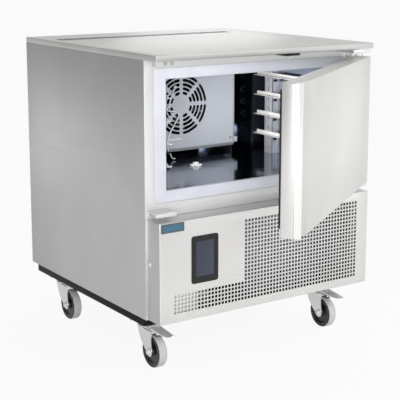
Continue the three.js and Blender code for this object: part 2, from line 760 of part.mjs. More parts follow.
// Magnetic door sensor under the worktop's front lip, with its small pale lug.
function doorSensor() {
  const x0 = SENSOR_LEFT - HALF;
  const z0 = DOOR_TOP + SENSOR_GAP;
  const face = FACE - FIT;
  const lug = x0 + LUG_LEFT;
  const rim = 1;
  return join(
    block(x0, x0 + SENSOR_WIDTH, face - SENSOR_DEPTH, face, z0, z0 + SENSOR_HEIGHT),
    wallPlate([[lug, z0 + rim], [lug + LUG_WIDTH * 0.3, z0 - LUG_DROP], [lug + LUG_WIDTH, z0 + rim]],
      face - SENSOR_DEPTH + rim, face - rim),
  );
}

// ---------------------------------------------------------------- chamber fittings

// Curved guard slot between two spokes, with round ends.
function guardSlot(radius, middle) {
  const half = GUARD_SLOT / 2;
  const swing = Math.PI / GUARD_SPOKES - (GUARD_SPOKE_WIDTH / 2 + half) / radius;
  const steps = radius > GUARD_FIRST_RING * 1.5 ? 3 : 2;
  const tip = half / radius;
  const outer = [];
  const inner = [];
  for (let i = 0; i <= steps; i += 1) {
    const angle = middle - swing + (2 * swing * i) / steps;
    outer.push(onGuard(radius + half, angle));
    inner.unshift(onGuard(radius - half, angle));
  }
  return [...outer, onGuard(radius, middle + swing + tip), ...inner,
    onGuard(radius, middle - swing - tip)];
}

function onGuard(radius, angle) {
  return [radius * Math.cos(angle), GUARD_Z + radius * Math.sin(angle)];
}

// Box open at the back, with a skirt that leans back under its slotted face.
function evaporatorCover() {
  const half = COVER_WIDTH / 2;
  const back = COVER_Y + COVER_DEPTH;
  const outline = [[COVER_Y, COVER_BOTTOM + COVER_SKIRT], [COVER_Y + COVER_SKIRT, COVER_BOTTOM],
    [back, COVER_BOTTOM], [back, COVER_TOP], [COVER_Y, COVER_TOP]];
  const hollow = inset(outline, SHEET);
  hollow[2][0] = back + EPS;
  hollow[3][0] = back + EPS;
  const box = cut(sidePlate(outline, -half, half), sidePlate(hollow, -half + SHEET, half - SHEET));
  const slots = [];
  for (let ring = 0; ring < GUARD_RINGS; ring += 1) {
    const radius = GUARD_FIRST_RING + ring * GUARD_RING_PITCH;
    for (let sector = 0; sector < GUARD_SPOKES; sector += 1) {
      const middle = ((sector + 0.5) * 2 * Math.PI) / GUARD_SPOKES;
      slots.push(wallPlate(guardSlot(radius, middle), COVER_Y - EPS, COVER_Y + 2 * SHEET));
    }
  }
  return cut(box, ...slots);
}

// Axial fan turning about the Y axis through the origin of its own group.
function axialFan(radius, hubRadius, depth, blades, bore) {
  const parts = [rod('y', hubRadius, 0, depth, 0, 0, 18)];
  const root = hubRadius * 0.8;
  const half = BLADE_SHEET / 2;
  for (let i = 0; i < blades; i += 1) {
    const blade = block(root, radius, -half, half, -depth, depth);
    blade.rotateX(BLADE_PITCH);
    blade.translate(0, depth / 2, 0);
    blade.rotateY((i * 2 * Math.PI) / blades);
    parts.push(blade);
  }
  return cut(join(...parts), rod('y', bore, -EPS, depth + EPS, 0, 0, 16));
}

// Fan motor with its shaft and crossed straps out to what carries it.
function fanMotor(fanDepth, strapHalf, strapY) {
  const start = fanDepth + MOTOR_GAP;
  const half = STRAP_WIDTH / 2;
  const strapFront = strapY - STRAP_SHEET;
  return join(
    rod('y', SHAFT_RADIUS, SHAFT_RADIUS, start + MOTOR_GAP, 0, 0, 16),
    rod('y', MOTOR_RADIUS, start, strapY, 0, 0, 20),
    block(-strapHalf, strapHalf, strapFront, strapY, -half, half),
    block(-half, half, strapFront, strapY, -strapHalf, strapHalf),
  );
}

// Finned coil between end plates, with the return bends of its tubes outside them.
function finnedCoil(width, depth, height, legs, bends) {
  const half = width / 2;
  const margin = END_PLATE_MARGIN;
  const parts = [
    block(-half, half, margin, depth - margin, legs + margin, height - margin),
    block(-half - END_PLATE, -half, 0, depth, 0, height),
    block(half, half + END_PLATE, 0, depth, 0, height),
  ];
  const spacing = (height - legs) / (bends + 0.5);
  for (let i = 0; i < bends; i += 1) {
    const z = legs + spacing * (i + 0.75);
    parts.push(returnBend(half + END_PLATE / 2, depth / 2, z));
  }
  return join(...parts);
}

// Half ring of tube standing out along +X.
function returnBend(x, y, z) {
  const path = new THREE.CurvePath();
  const start = new THREE.Vector3(x, y, z - BEND_SPREAD / 2);
  const end = new THREE.Vector3(x, y, z + BEND_SPREAD / 2);
  const out = (point) => new THREE.Vector3(point.x + BEND_SPREAD * 1.5, point.y, point.z);
  path.add(new THREE.CubicBezierCurve3(start, out(start), out(end), end));
  return tube(path, PIPE_RADIUS, 6, 6);
}

function tube(path, radius, steps, sides) {
  const section = new THREE.Shape();
  for (let i = 0; i < sides; i += 1) {
    const angle = (i * 2 * Math.PI) / sides;
    const point = [radius * Math.cos(angle), radius * Math.sin(angle)];
    if (i === 0) section.moveTo(...point);
    else section.lineTo(...point);
  }
  return new THREE.ExtrudeGeometry(section, { steps, bevelEnabled: false, extrudePath: path });
}

// Right-hand tray rack: two posts on the wall and a lipped rail at each level.
function trayRack(side) {
  const wall = CHAMBER_HALF - FIT;
  const rail = RAIL_FACE;
  const front = FACE + RAIL_SETBACK;
  const back = COVER_Y - RAIL_COVER_GAP;
  const postBottom = CHAMBER_FLOOR + FIT;
  const lastLevel = CHAMBER_FLOOR + RAIL_FIRST + (RAIL_LEVELS - 1) * RAIL_PITCH;
  const postTop = lastLevel + RAIL_FLANGE * 2;
  const parts = [];
  for (const y of [front + POST_FROM_FRONT, back - POST_FROM_BACK - POST_WIDTH]) {
    const post = block(rail + RAIL_SHEET / 2, wall, y, y + POST_WIDTH, postBottom, postTop);
    const groove = block(rail + RAIL_SHEET * 1.5, wall + EPS, y + RAIL_SHEET,
      y + POST_WIDTH - RAIL_SHEET, postBottom - EPS, postTop + EPS);
    parts.push(cut(post, groove));
  }
  for (let level = 0; level < RAIL_LEVELS; level += 1) {
    const z = CHAMBER_FLOOR + RAIL_FIRST + level * RAIL_PITCH;
    const section = [[rail + RAIL_SHEET, z], [rail + RAIL_SHEET, z + RAIL_FLANGE],
      [rail, z + RAIL_FLANGE], [rail, z + RAIL_SHEET],
      [rail - RAIL_LIP, z + RAIL_SHEET], [rail - RAIL_LIP, z]];
    parts.push(wallPlate(section, front, back));
  }
  const rack = join(...parts);
  return side > 0 ? rack : mirrored(rack);
}

// Core probe hung on the evaporator cover: a lead clipped up the cover, a small grip and a hooked
// needle. Both routes are listed as x and the height above the cover's bottom edge.
function coreProbe() {
  const face = COVER_Y - FIT;
  const leadY = face - LEAD_STAND_OFF;
  const route = [[PROBE_X, 6], [-57, 24], [-56, 46], [-48, 67], [-28, 97], [-13, 128], [-22, 137],
    [-42, 140], [-58, 146], [-54, 155], [-40, 188], [-27, 219]];
  const onCover = ([x, rise]) => new THREE.Vector3(x, leadY, COVER_BOTTOM + rise);
  const points = route.map(onCover);
  const hook = [[PROBE_X, 0], [-47, -3], [-42, -14], [-36, -20], [-28, -20]].map(onCover);
  const gripZ = COVER_BOTTOM - PROBE_GRIP_DROP;
  const end = points[points.length - 1];
  const barZ = COVER_BOTTOM + CLIP_BAR_RISE;
  return join(
    tube(new THREE.CatmullRomCurve3(points), LEAD_RADIUS, 36, 6),
    tube(new THREE.CatmullRomCurve3(hook), HOOK_RADIUS, 12, 6),
    rod('z', PROBE_GRIP_RADIUS, gripZ, gripZ + PROBE_GRIP_LENGTH, PROBE_X, leadY - FIT, 12),
    rod('z', CLIP_RADIUS, end.z - CLIP_HEIGHT / 2, end.z + CLIP_HEIGHT / 2, end.x, leadY - 1, 12),
    block(-CLIP_BAR_LENGTH, 0, leadY - LEAD_RADIUS, face, barZ, barZ + CLIP_BAR_HEIGHT),
  );
}

// ---------------------------------------------------------------- refrigeration compartment

// Hermetic compressor: foot plate, rubber feet and a domed can with its weld seam.
function compressor() {
  const foot = COMPARTMENT_FLOOR;
  const plateZ = foot + FOOT_HEIGHT;
  const r = COMPRESSOR_RADIUS;
  const h = COMPRESSOR_HEIGHT;
  const seam = r + SEAM_PROUD;
  const profile = [[0, 0], [r * 0.8, 0], [r * 0.96, h * 0.05], [r, h * 0.14], [r, h * 0.45],
    [seam, h * 0.46], [seam, h * 0.49], [r, h * 0.5], [r, h * 0.78], [r * 0.9, h * 0.91],
    [r * 0.6, h * 0.98], [0, h]];
  const can = turned(profile, 18).rotateX(Math.PI / 2).translate(0, 0, plateZ);
  const plateHalf = r + FOOT_PLATE_OVERHANG;
  const parts = [can, block(-plateHalf, plateHalf, -r * 0.7, r * 0.7, plateZ - END_PLATE,
    plateZ + SHEET)];
  for (const x of [-r - FOOT_OVERHANG, r + FOOT_OVERHANG]) {
    for (const y of [-r / 2, r / 2]) parts.push(rod('z', FOOT_RADIUS, foot, plateZ, x, y, 12));
  }
  return join(...parts).translate(COMPRESSOR_X, COMPRESSOR_Y, 0);
}

// Discharge pipe from the compressor's shell to the condenser's end plate.
function dischargeLine() {
  const z = COMPARTMENT_FLOOR + COMPRESSOR_HEIGHT * PIPE_RISE;
  const start = new THREE.Vector3(COMPRESSOR_X + COMPRESSOR_RADIUS + PIPE_STUB,
    COMPRESSOR_Y, z);
  const end = new THREE.Vector3(CONDENSER_X - CONDENSER_WIDTH / 2 - END_PLATE - FIT,
    CONDENSER_Y + CONDENSER_DEPTH / 2, z);
  const turnX = (start.x + end.x) / 2;
  const bend = PIPE_BEND;
  const path = new THREE.CurvePath();
  const at = (x, y) => new THREE.Vector3(x, y, z);
  path.add(new THREE.LineCurve3(start, at(turnX - bend, start.y)));
  path.add(new THREE.QuadraticBezierCurve3(at(turnX - bend, start.y), at(turnX, start.y),
    at(turnX, start.y - bend)));
  path.add(new THREE.LineCurve3(at(turnX, start.y - bend), at(turnX, end.y + bend)));
  path.add(new THREE.QuadraticBezierCurve3(at(turnX, end.y + bend), at(turnX, end.y),
    at(turnX + bend, end.y)));
  path.add(new THREE.LineCurve3(at(turnX + bend, end.y), end));
  return tube(path, PIPE_RADIUS, 36, 8);
}

function controlBox() {
  const x = BEZEL_LEFT + BEZEL_WIDTH / 2 - HALF;
  const half = CONTROL_BOX_WIDTH / 2;
  const edge = CONTROL_LID_EDGE;
  const y = FRONT + BASE_SETBACK + CONTROL_BOX_SETBACK;
  const top = COMPARTMENT_FLOOR + CONTROL_BOX_HEIGHT;
  const box = block(x - half, x + half, y, y + CONTROL_BOX_DEPTH, COMPARTMENT_FLOOR, top);
  const lid = block(x - half - edge, x + half + edge, y - SHEET, y + 2 * edge, COMPARTMENT_FLOOR,
    top + edge);
  return join(box, lid);
}

// ---------------------------------------------------------------- door

// Plan outline of the door skin without its grip lip, in the door's own frame: x runs from the
// free edge towards the hinge, y from the front face back, and it is listed anticlockwise.
function doorOutline() {
  const floor = DOOR_FRONT + GROOVE_DEPTH;
  return [
    [DOOR_LEFT, floor],
    [DOOR_LEFT + GRIP_BASE + GROOVE_FLOOR, floor],
    [DOOR_LEFT + GRIP_BASE + GROOVE_WIDTH, DOOR_FRONT],
    [DOOR_RIGHT, DOOR_FRONT],
    [DOOR_RIGHT, DOOR_BACK],
    [DOOR_LEFT, DOOR_BACK],
  ];
}

// Folded outer skin, open at the back for the foam.
function doorSkin() {
  const outline = doorOutline();
  const hollow = inset(outline, SHEET);
  hollow[4][1] = DOOR_BACK + EPS;
  hollow[5][1] = DOOR_BACK + EPS;
  const shell = cut(plate(outline, DOOR_BOTTOM, DOOR_TOP),
    plate(hollow, DOOR_BOTTOM + SHEET, DOOR_TOP - SHEET));
  return cut(shell,
    rod('z', HINGE_PIN_RADIUS + FIT, DOOR_BOTTOM - EPS, DOOR_BOTTOM + EPS, 0, 0, 16),
    rod('z', HINGE_PIN_RADIUS + FIT, DOOR_TOP - EPS, DOOR_TOP + EPS, 0, 0, 16));
}

function doorCore() {
  const outline = inset(doorOutline(), SHEET + FIT);
  outline[4][1] = DOOR_BACK - FIT;
  outline[5][1] = DOOR_BACK - FIT;
  const core = plate(outline, DOOR_BOTTOM + SHEET + FIT, DOOR_TOP - SHEET - FIT);
  const bore = HINGE_PIN_RADIUS + FIT;
  const deep = HINGE_PIN_LENGTH + HINGE_PIN_PLAY;
  return cut(core,
    rod('z', bore, DOOR_BOTTOM - EPS, DOOR_BOTTOM + deep, 0, 0, 16),
    rod('z', bore, DOOR_TOP - deep, DOOR_TOP + EPS, 0, 0, 16));
}

// Full-height grip lip: a short straight edge, a leaning bright face and the groove's side.
function doorGrip() {
  const floor = DOOR_FRONT + GROOVE_DEPTH - FIT;
  return plate([
    [DOOR_LEFT, floor],
    [DOOR_LEFT, floor - GRIP_EDGE],
    [DOOR_LEFT + GRIP_BASE - GRIP_LIP, DOOR_FRONT],
    [DOOR_LEFT + GRIP_BASE, DOOR_FRONT],
    [DOOR_LEFT + GRIP_BASE, floor],
  ], DOOR_BOTTOM, DOOR_TOP);
}

// Inner door pan: a flat sheet with a raised field that stands inside the gasket.
function doorLiner() {
  const y = DOOR_BACK + FIT;
  const inner = LINER_INSET;
  return join(
    block(DOOR_LEFT + SHEET, DOOR_RIGHT - SHEET, y, y + SHEET,
      DOOR_BOTTOM + SHEET, DOOR_TOP - SHEET),
    block(DOOR_LEFT + inner, DOOR_RIGHT - inner, y + SHEET / 2, y + LINER_DEPTH,
      DOOR_BOTTOM + inner, DOOR_TOP - inner),
  );
}

function doorGasket() {
  const y = DOOR_BACK + 2 * FIT + SHEET;
  const outer = GASKET_INSET;
  const inner = GASKET_INSET + GASKET_WIDTH;
  const end = DOOR_BACK + GASKET_DEPTH;
  return cut(
    block(DOOR_LEFT + outer, DOOR_RIGHT - outer, y, end, DOOR_BOTTOM + outer, DOOR_TOP - outer),
    block(DOOR_LEFT + inner, DOOR_RIGHT - inner, y - EPS, end + EPS, DOOR_BOTTOM + inner,
      DOOR_TOP - inner),
  );
}

// ---------------------------------------------------------------- castors

// Bolted top plate with the fixed race of the swivel bearing under it.
function castorPlate() {
  const x = CASTOR_PLATE_X / 2;
  const y = CASTOR_PLATE_Y / 2;
  const top = CASTOR_HEIGHT - FIT;
  const sheet = plate(roundedRectangle(-x, x, -y, y, CASTOR_PLATE_RADIUS),
    CASTOR_HEIGHT - CASTOR_PLATE_SHEET, top);
  const race = rod('z', SWIVEL_RADIUS, CROWN_TOP + FIT + 1, CASTOR_HEIGHT - 1, 0, 0, 16);
  return join(sheet, race);
}

// Fork: crown under the race and two tapered legs that trail to the axle.
function castorFork() {
  const legOutline = new THREE.Shape();
  const foot = FORK_FOOT;
  legOutline.moveTo(FORK_REAR, CROWN_TOP);
  legOutline.lineTo(-FORK_FRONT, CROWN_TOP);
  legOutline.lineTo(-CASTOR_TRAIL - foot, AXLE_Z + foot / 3);
  legOutline.absarc(-CASTOR_TRAIL, AXLE_Z, foot, Math.PI * 0.95, Math.PI * 1.95);
  legOutline.lineTo(FORK_REAR, CROWN_TOP);
  const inner = FORK_HALF - FORK_SHEET;
  const fork = join(
    rod('z', SWIVEL_RADIUS + 3, CROWN_BOTTOM, CROWN_TOP, 0, 0, 16),
    block(-FORK_HALF, FORK_HALF, -BRIDGE_FRONT, BRIDGE_REAR, CROWN_TOP - FORK_SHEET, CROWN_TOP),
    sidePlate(legOutline, inner, FORK_HALF),
    sidePlate(legOutline, -FORK_HALF, -inner),
  );
  return cut(fork,
    rod('x', AXLE_RADIUS + FIT, -FORK_HALF - EPS, FORK_HALF + EPS, -CASTOR_TRAIL, AXLE_Z, 16));
}

// Axle bolt with a hexagon head and nut outside the legs.
function castorAxle() {
  const out = FORK_HALF + FIT;
  const head = out + AXLE_HEAD_HEIGHT;
  return join(
    rod('x', AXLE_RADIUS, -out - AXLE_END, out + AXLE_END, 0, 0, 16),
    rod('x', AXLE_HEAD_RADIUS, -head, -out, 0, 0, 6),
    rod('x', AXLE_HEAD_RADIUS, out, head, 0, 0, 6),
  );
}

// Wheel core and tyre turn about the X axis through their own group's origin.
function wheelCore() {
  const r = WHEEL_RADIUS - TYRE_THICKNESS - FIT;
  const half = WHEEL_WIDTH / 2;
  const bore = AXLE_RADIUS + FIT;
  const web = half - WEB_SUNK;
  const end = half + HUB_PROUD;
  const side = [[bore, end], [HUB_RADIUS, end], [HUB_RADIUS + 1, web], [r * 0.72, web],
    [r * 0.78, half], [r, half]];
  const profile = [...side.map(([radius, x]) => [radius, -x]), ...side.reverse(), [bore, -end]];
  return turned(profile, WHEEL_SIDES).rotateZ(-Math.PI / 2);
}

function wheelTyre() {
  const half = WHEEL_WIDTH / 2;
  const inner = WHEEL_RADIUS - TYRE_THICKNESS;
  const edge = half - FIT;
  const shoulder = WHEEL_RADIUS - TREAD_EDGE / 2;
  const profile = [[inner, -edge], [shoulder, -edge], [WHEEL_RADIUS, TREAD_EDGE - half],
    [WHEEL_RADIUS, half - TREAD_EDGE], [shoulder, edge], [inner, edge], [inner, -edge]];
  return turned(profile, WHEEL_SIDES).rotateZ(-Math.PI / 2);
}

// Brake pedal: a lever over the wheel that turns on the fork's crown, with an upturned toe and a
// pad ahead of the wheel's top. Its outlines are measured from the pivot.
function brakePedal() {
  const toe = -(PEDAL_REACH + PEDAL_PIVOT_Y);
  const half = PEDAL_WIDTH / 2;
  const lever = [[0, -3], [toe * 0.6, -6], [toe * 0.85, -4], [toe, 5], [toe, 8],
    [toe * 0.84, 0], [toe * 0.6, -2], [0, 3]];
  const pad = [[toe * 0.3, -14], [toe * 0.2, -16], [toe * 0.2, -2], [toe * 0.3, -2]];
  return join(
    sidePlate(lever, -half, half),
    rod('x', PEDAL_HUB, -half, half, 0, 0, 12),
    sidePlate(pad, -half + PAD_INSET, half - PAD_INSET),
  );
}

function addCastor(suffix, x, y, braked) {
  const castor = new THREE.Group();
  castor.position.set(x, y, 0);
  place(`castor_plate_${suffix}`, castorPlate(), ZINC, castor);
  place(`castor_fork_${suffix}`, castorFork(), ZINC, castor);
  const wheel = new THREE.Group();
  wheel.position.set(0, -CASTOR_TRAIL, AXLE_Z);
  place(`castor_axle_${suffix}`, castorAxle(), BRIGHT_STEEL, wheel);
  place(`wheel_core_${suffix}`, wheelCore(), WHEEL_BLACK, wheel);
  place(`wheel_tyre_${suffix}`, wheelTyre(), TYRE_GREY, wheel);
  castor.add(wheel);
  if (braked) {
    const pedal = place(`brake_pedal_${suffix}`, brakePedal(), ZINC, castor);
    pedal.position.set(0, PEDAL_PIVOT_Y, CROWN_TOP - PEDAL_PIVOT_DROP);
  }
  chiller.add(castor);
}

// ---------------------------------------------------------------- assembly

place('worktop', worktop(), STEEL);
place('side_panel_left', sidePanel(-1), STEEL);
place('side_panel_right', sidePanel(1), STEEL);
place('back_panel', backPanel(), STEEL);
place('base_frame', baseFrame(), BLACK_PAINT);
place('front_surround', frontSurround(), STEEL);
place('breaker_frame', breakerFrame(), BREAKER_PLASTIC);
place('insulated_body', insulatedBody(), FOAM);
place('chamber_liner', chamberLiner(), LINER_STEEL);
place('drain_plug', drainPlug(), BREAKER_PLASTIC);
place('fascia_panel', fasciaPanel(), STEEL);
place('control_bezel', controlBezel(), BEZEL_PLASTIC);
place('control_screen', controlScreen(), SCREEN_GLASS);
place('badge_plate', badgePlate(), BADGE_ENAMEL);
place('lower_hinge_bracket_right', lowerBracket(true), BRIGHT_STEEL);
place('lower_hinge_bracket_left', mirrored(lowerBracket(false)), BRIGHT_STEEL);
place('upper_hinge_bracket', upperBracket(), BRIGHT_STEEL);
place('door_sensor', doorSensor(), DARK_PLASTIC);
place('power_gland', powerGland(), DARK_PLASTIC);

place('evaporator_cover', evaporatorCover(), STEEL);
place('tray_rack_right', trayRack(1), BRIGHT_STEEL);
place('tray_rack_left', trayRack(-1), BRIGHT_STEEL);
place('core_probe', coreProbe(), DARK_PLASTIC);

const evaporatorCoil = place('evaporator_coil',
  finnedCoil(COIL_WIDTH, COIL_DEPTH, COIL_HEIGHT, COIL_LEGS, COIL_BENDS), FIN_ALUMINIUM);
evaporatorCoil.position.set(0, COIL_Y, CHAMBER_FLOOR + FIT);

const evaporatorFan = new THREE.Group();
evaporatorFan.position.set(0, FAN_Y, GUARD_Z);
place('evaporator_fan', axialFan(FAN_RADIUS, FAN_HUB, FAN_DEPTH, 6, SHAFT_RADIUS + FIT),
  BLACK_PAINT, evaporatorFan);
place('evaporator_fan_motor', fanMotor(FAN_DEPTH, FAN_RADIUS, COIL_Y - FIT - FAN_Y), DARK_PLASTIC,
  evaporatorFan);
chiller.add(evaporatorFan);

place('compressor', compressor(), BLACK_PAINT);
place('discharge_line', dischargeLine(), COPPER);
place('control_box', controlBox(), ZINC);
const condenserCoil = place('condenser_coil',
  finnedCoil(CONDENSER_WIDTH, CONDENSER_DEPTH, CONDENSER_HEIGHT, CONDENSER_LEGS, CONDENSER_BENDS),
  FIN_ALUMINIUM);
condenserCoil.position.set(CONDENSER_X, CONDENSER_Y, COMPARTMENT_FLOOR);

const condenserFan = new THREE.Group();
condenserFan.position.set(CONDENSER_X, CONDENSER_FAN_Y, CONDENSER_FAN_Z);
place('condenser_fan', axialFan(CONDENSER_FAN_RADIUS, CONDENSER_FAN_HUB, CONDENSER_FAN_DEPTH, 5,
  SHAFT_RADIUS + FIT), BLACK_PAINT, condenserFan);
place('condenser_fan_motor', fanMotor(CONDENSER_FAN_DEPTH, CONDENSER_HEIGHT / 2,
  CONDENSER_FAN_DEPTH + CONDENSER_MOTOR_LENGTH), DARK_PLASTIC, condenserFan);
chiller.add(condenserFan);

const door = new THREE.Group();
door.position.set(HINGE_X, HINGE_Y, 0);
door.rotation.z = THREE.MathUtils.degToRad(DOOR_REST_ANGLE);
place('door_skin', doorSkin(), STEEL, door);
place('door_core', doorCore(), FOAM, door);
place('door_grip', doorGrip(), BRIGHT_STEEL, door);
place('door_liner', doorLiner(), STEEL, door);
place('door_gasket', doorGasket(), SEAL_RUBBER, door);
chiller.add(door);

for (const [side, x] of [['left', -HALF + CASTOR_FROM_SIDE], ['right', HALF - CASTOR_FROM_SIDE]]) {
  addCastor(`front_${side}`, x, FRONT + CASTOR_FROM_FRONT, true);
  addCastor(`rear_${side}`, x, BACK - CASTOR_FROM_BACK, false);
}

export default chiller;
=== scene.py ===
"""Looks of an undercounter blast chiller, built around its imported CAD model.

Sizes here are in millimetres unless a name says otherwise; meshes are turned into metres when a
piece is made. The row frame has +Z up, the front at -Y and its origin on the floor.
"""

import json
import math

import bmesh
import bpy
from mathutils import Matrix, Vector
from mathutils.geometry import tessellate_polygon

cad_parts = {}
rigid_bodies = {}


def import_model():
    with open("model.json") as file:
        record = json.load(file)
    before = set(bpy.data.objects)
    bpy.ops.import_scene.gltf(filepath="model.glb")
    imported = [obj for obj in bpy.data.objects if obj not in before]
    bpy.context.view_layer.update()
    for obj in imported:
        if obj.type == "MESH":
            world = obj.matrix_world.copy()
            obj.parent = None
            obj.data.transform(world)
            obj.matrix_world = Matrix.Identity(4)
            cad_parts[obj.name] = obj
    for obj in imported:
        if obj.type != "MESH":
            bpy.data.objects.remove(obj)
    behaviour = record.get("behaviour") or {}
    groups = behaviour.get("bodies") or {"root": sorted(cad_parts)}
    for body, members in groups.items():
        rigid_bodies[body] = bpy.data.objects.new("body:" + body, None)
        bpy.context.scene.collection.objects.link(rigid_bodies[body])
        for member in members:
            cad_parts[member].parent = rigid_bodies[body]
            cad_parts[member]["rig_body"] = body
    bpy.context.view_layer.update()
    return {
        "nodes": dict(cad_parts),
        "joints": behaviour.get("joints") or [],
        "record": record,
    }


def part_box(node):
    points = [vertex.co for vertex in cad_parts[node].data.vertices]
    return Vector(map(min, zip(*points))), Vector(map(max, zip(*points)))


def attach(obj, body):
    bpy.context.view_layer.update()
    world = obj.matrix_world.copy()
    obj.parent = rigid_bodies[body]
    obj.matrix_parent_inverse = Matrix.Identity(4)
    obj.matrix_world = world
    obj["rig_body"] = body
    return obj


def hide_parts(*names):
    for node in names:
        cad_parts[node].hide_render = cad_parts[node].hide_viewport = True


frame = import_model()

MM = 0.001
SHEET = 1.2
FIT = 0.3
WELD = FIT / 100
SMOOTH_ANGLE = math.radians(32)


def corners(node):
    """Lowest and highest corner of a CAD node at rest, in millimetres."""
    low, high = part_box(node)
    return low / MM, high / MM


def joint_place(name):
    """Position of a joint at rest, in millimetres."""
    found = next(joint for joint in frame["joints"] if joint["name"] == name)
    return Vector(found["pos_m"]) / MM


def add_object(name, data):
    """An object with this data, put into the scene."""
    item = bpy.data.objects.new(name, data)
    bpy.context.scene.collection.objects.link(item)
    return item


# ---------------------------- camera

CAMERA_PLACE = (-1.9872, -2.9725, 1.2327)
CAMERA_YAW = math.radians(34.05)
CAMERA_PITCH = math.radians(10.73)
CAMERA_LENS = 99.47
CAMERA_SENSOR = 36
CAMERA_SHIFT_Y = -0.1
CAMERA_REACH = 50


def add_camera():
    data = bpy.data.cameras.new("camera")
    data.lens = CAMERA_LENS
    data.sensor_width = CAMERA_SENSOR
    data.shift_y = CAMERA_SHIFT_Y
    data.clip_end = CAMERA_REACH
    camera = add_object("camera", data)
    camera.location = CAMERA_PLACE
    camera.rotation_euler = (math.pi / 2 - CAMERA_PITCH, 0, -CAMERA_YAW)
    bpy.context.scene.camera = camera


# ---------------------------- materials

def srgb(red, green, blue):
    """A colour as it is seen on a screen, 0 to 255, as the linear colour that shaders use."""
    shares = [value / 255 for value in (red, green, blue)]
    return tuple(s / 12.92 if s <= 0.04045 else ((s + 0.055) / 1.055) ** 2.4 for s in shares)


def set_sockets(node, **sockets):
    """Sets a node's inputs; the names have underscores in place of spaces."""
    for socket, value in sockets.items():
        node.inputs[socket.replace("_", " ")].default_value = value
    return node


def add_node(tree, kind, **sockets):
    return set_sockets(tree.nodes.new(f"ShaderNode{kind}"), **sockets)


def link(output, node, socket):
    node.id_data.links.new(output, node.inputs[socket])


NOISE_LOW = 0.3
NOISE_HIGH = 0.7


class Look:
    """A procedural material: one Principled shader with noise that is fixed to the piece."""

    def __init__(self, name, colour, roughness, metallic=0.0, coat=0.0, specular=0.5):
        self.material = bpy.data.materials.new(name)
        self.material.use_nodes = True
        self.tree = self.material.node_tree
        self.shader = self.tree.nodes["Principled BSDF"]
        self.colour = srgb(*colour)
        self.roughness = roughness
        set_sockets(self.shader, Base_Color=(*self.colour, 1), Roughness=roughness,
                    Metallic=metallic, Coat_Weight=coat, Specular_IOR_Level=specular)
        self.place = add_node(self.tree, "TexCoord")

    def noise(self, stretch, detail):
        """Noise that varies stretch times a metre along each axis."""
        mapping = add_node(self.tree, "Mapping", Scale=stretch)
        texture = add_node(self.tree, "TexNoise", Scale=1, Detail=detail)
        link(self.place.outputs["Object"], mapping, "Vector")
        link(mapping.outputs["Vector"], texture, "Vector")
        return texture.outputs["Fac"]

    def tone(self, value, spread):
        """Lets the colour vary by a share of itself either way."""
        ramp = add_node(self.tree, "ValToRGB")
        low, high = ramp.color_ramp.elements
        low.position, high.position = NOISE_LOW, NOISE_HIGH
        low.color = (*[c * (1 - spread) for c in self.colour], 1)
        high.color = (*[min(1, c * (1 + spread)) for c in self.colour], 1)
        link(value, ramp, "Fac")
        link(ramp.outputs["Color"], self.shader, "Base Color")
        return self

    def gloss(self, value, spread):
        """Lets the roughness vary by a distance either way."""
        span = add_node(self.tree, "MapRange", From_Min=NOISE_LOW, From_Max=NOISE_HIGH,
                        To_Min=self.roughness - spread, To_Max=self.roughness + spread)
        link(value, span, "Value")
        link(span.outputs["Result"], self.shader, "Roughness")
        return self

    def bump(self, value, height, strength):
        """Raises the surface by up to a height in millimetres."""
        bump = add_node(self.tree, "Bump", Strength=strength, Distance=height * MM)
        link(value, bump, "Height")
        link(bump.outputs["Normal"], self.shader, "Normal")
        return self


ACROSS = (4, 4, 420)
ALONG_TOP = (4, 420, 4)
UPRIGHT = (420, 420, 4)
FINS = (500, 4, 4)
CRYSTALS = (60, 60, 60)
CLOUDS = (5, 5, 5)
SPOTS = (9, 9, 9)
FLECKS = (12, 12, 12)


def brushed(name, colour, roughness, grain, metallic=0.85, spread=0.035):
    """Steel with brush lines along the axis where the grain's stretch is small."""
    look = Look(name, colour, roughness, metallic)
    lines = look.noise(grain, 4)
    clouds = look.noise(CLOUDS, 2)
    return look.tone(clouds, spread).gloss(lines, 0.05).bump(lines, 0.02, 0.25)


def moulded(name, colour, roughness, grain=900, specular=0.5):
    """Plastic or rubber with a fine moulded grain and slightly uneven tone."""
    look = Look(name, colour, roughness, specular=specular)
    fine = look.noise((grain, grain, grain), 2)
    clouds = look.noise(SPOTS, 2)
    return look.tone(clouds, 0.06).gloss(clouds, 0.04).bump(fine, 0.05, 0.3)


# Looks by the function that makes them: colour from 0 to 255, roughness, then its other values.
BRUSHED = {
    "stainless": ((224, 223, 221), 0.36, ACROSS, 0.7),
    "worktop_steel": ((226, 225, 223), 0.34, ALONG_TOP, 0.7),
    # Darker copy of the stainless for the side panels and the fascia's sides: painted shade.
    "side_steel": ((194, 193, 193), 0.42, ACROSS, 0.6),
    # Darker copy of the worktop steel for its upright faces: painted shade.
    "edge_steel": ((206, 205, 203), 0.4, ACROSS, 0.6),
    # Paler, less metallic copy of the stainless for the front surround: painted light against the
    # shadow under the worktop.
    "surround_steel": ((243, 243, 243), 0.38, ACROSS, 0.3),
    "bracket_steel": ((240, 240, 240), 0.3, ACROSS, 0.4),
    # Pale, almost unmetallic copy of the zinc for the castors' pedals, plates and axles: painted light
    # against the shade under the cabinet.
    "pedal_zinc": ((240, 240, 239), 0.3, CRYSTALS, 0.1, 0.04),
    "cover_steel": ((214, 218, 226), 0.45, ACROSS, 0.2),
    "rack_steel": ((206, 206, 210), 0.34, UPRIGHT, 0.5),
    "bright_steel": ((236, 236, 236), 0.24, ACROSS),
    "grip_steel": ((244, 244, 242), 0.3, UPRIGHT, 0.7),
    "zinc": ((214, 214, 213), 0.28, CRYSTALS, 0.9, 0.06),
    "fin_aluminium": ((140, 145, 150), 0.45, FINS, 0.7),
    "rail_steel": ((246, 243, 241), 0.34, ACROSS, 0.2),
}
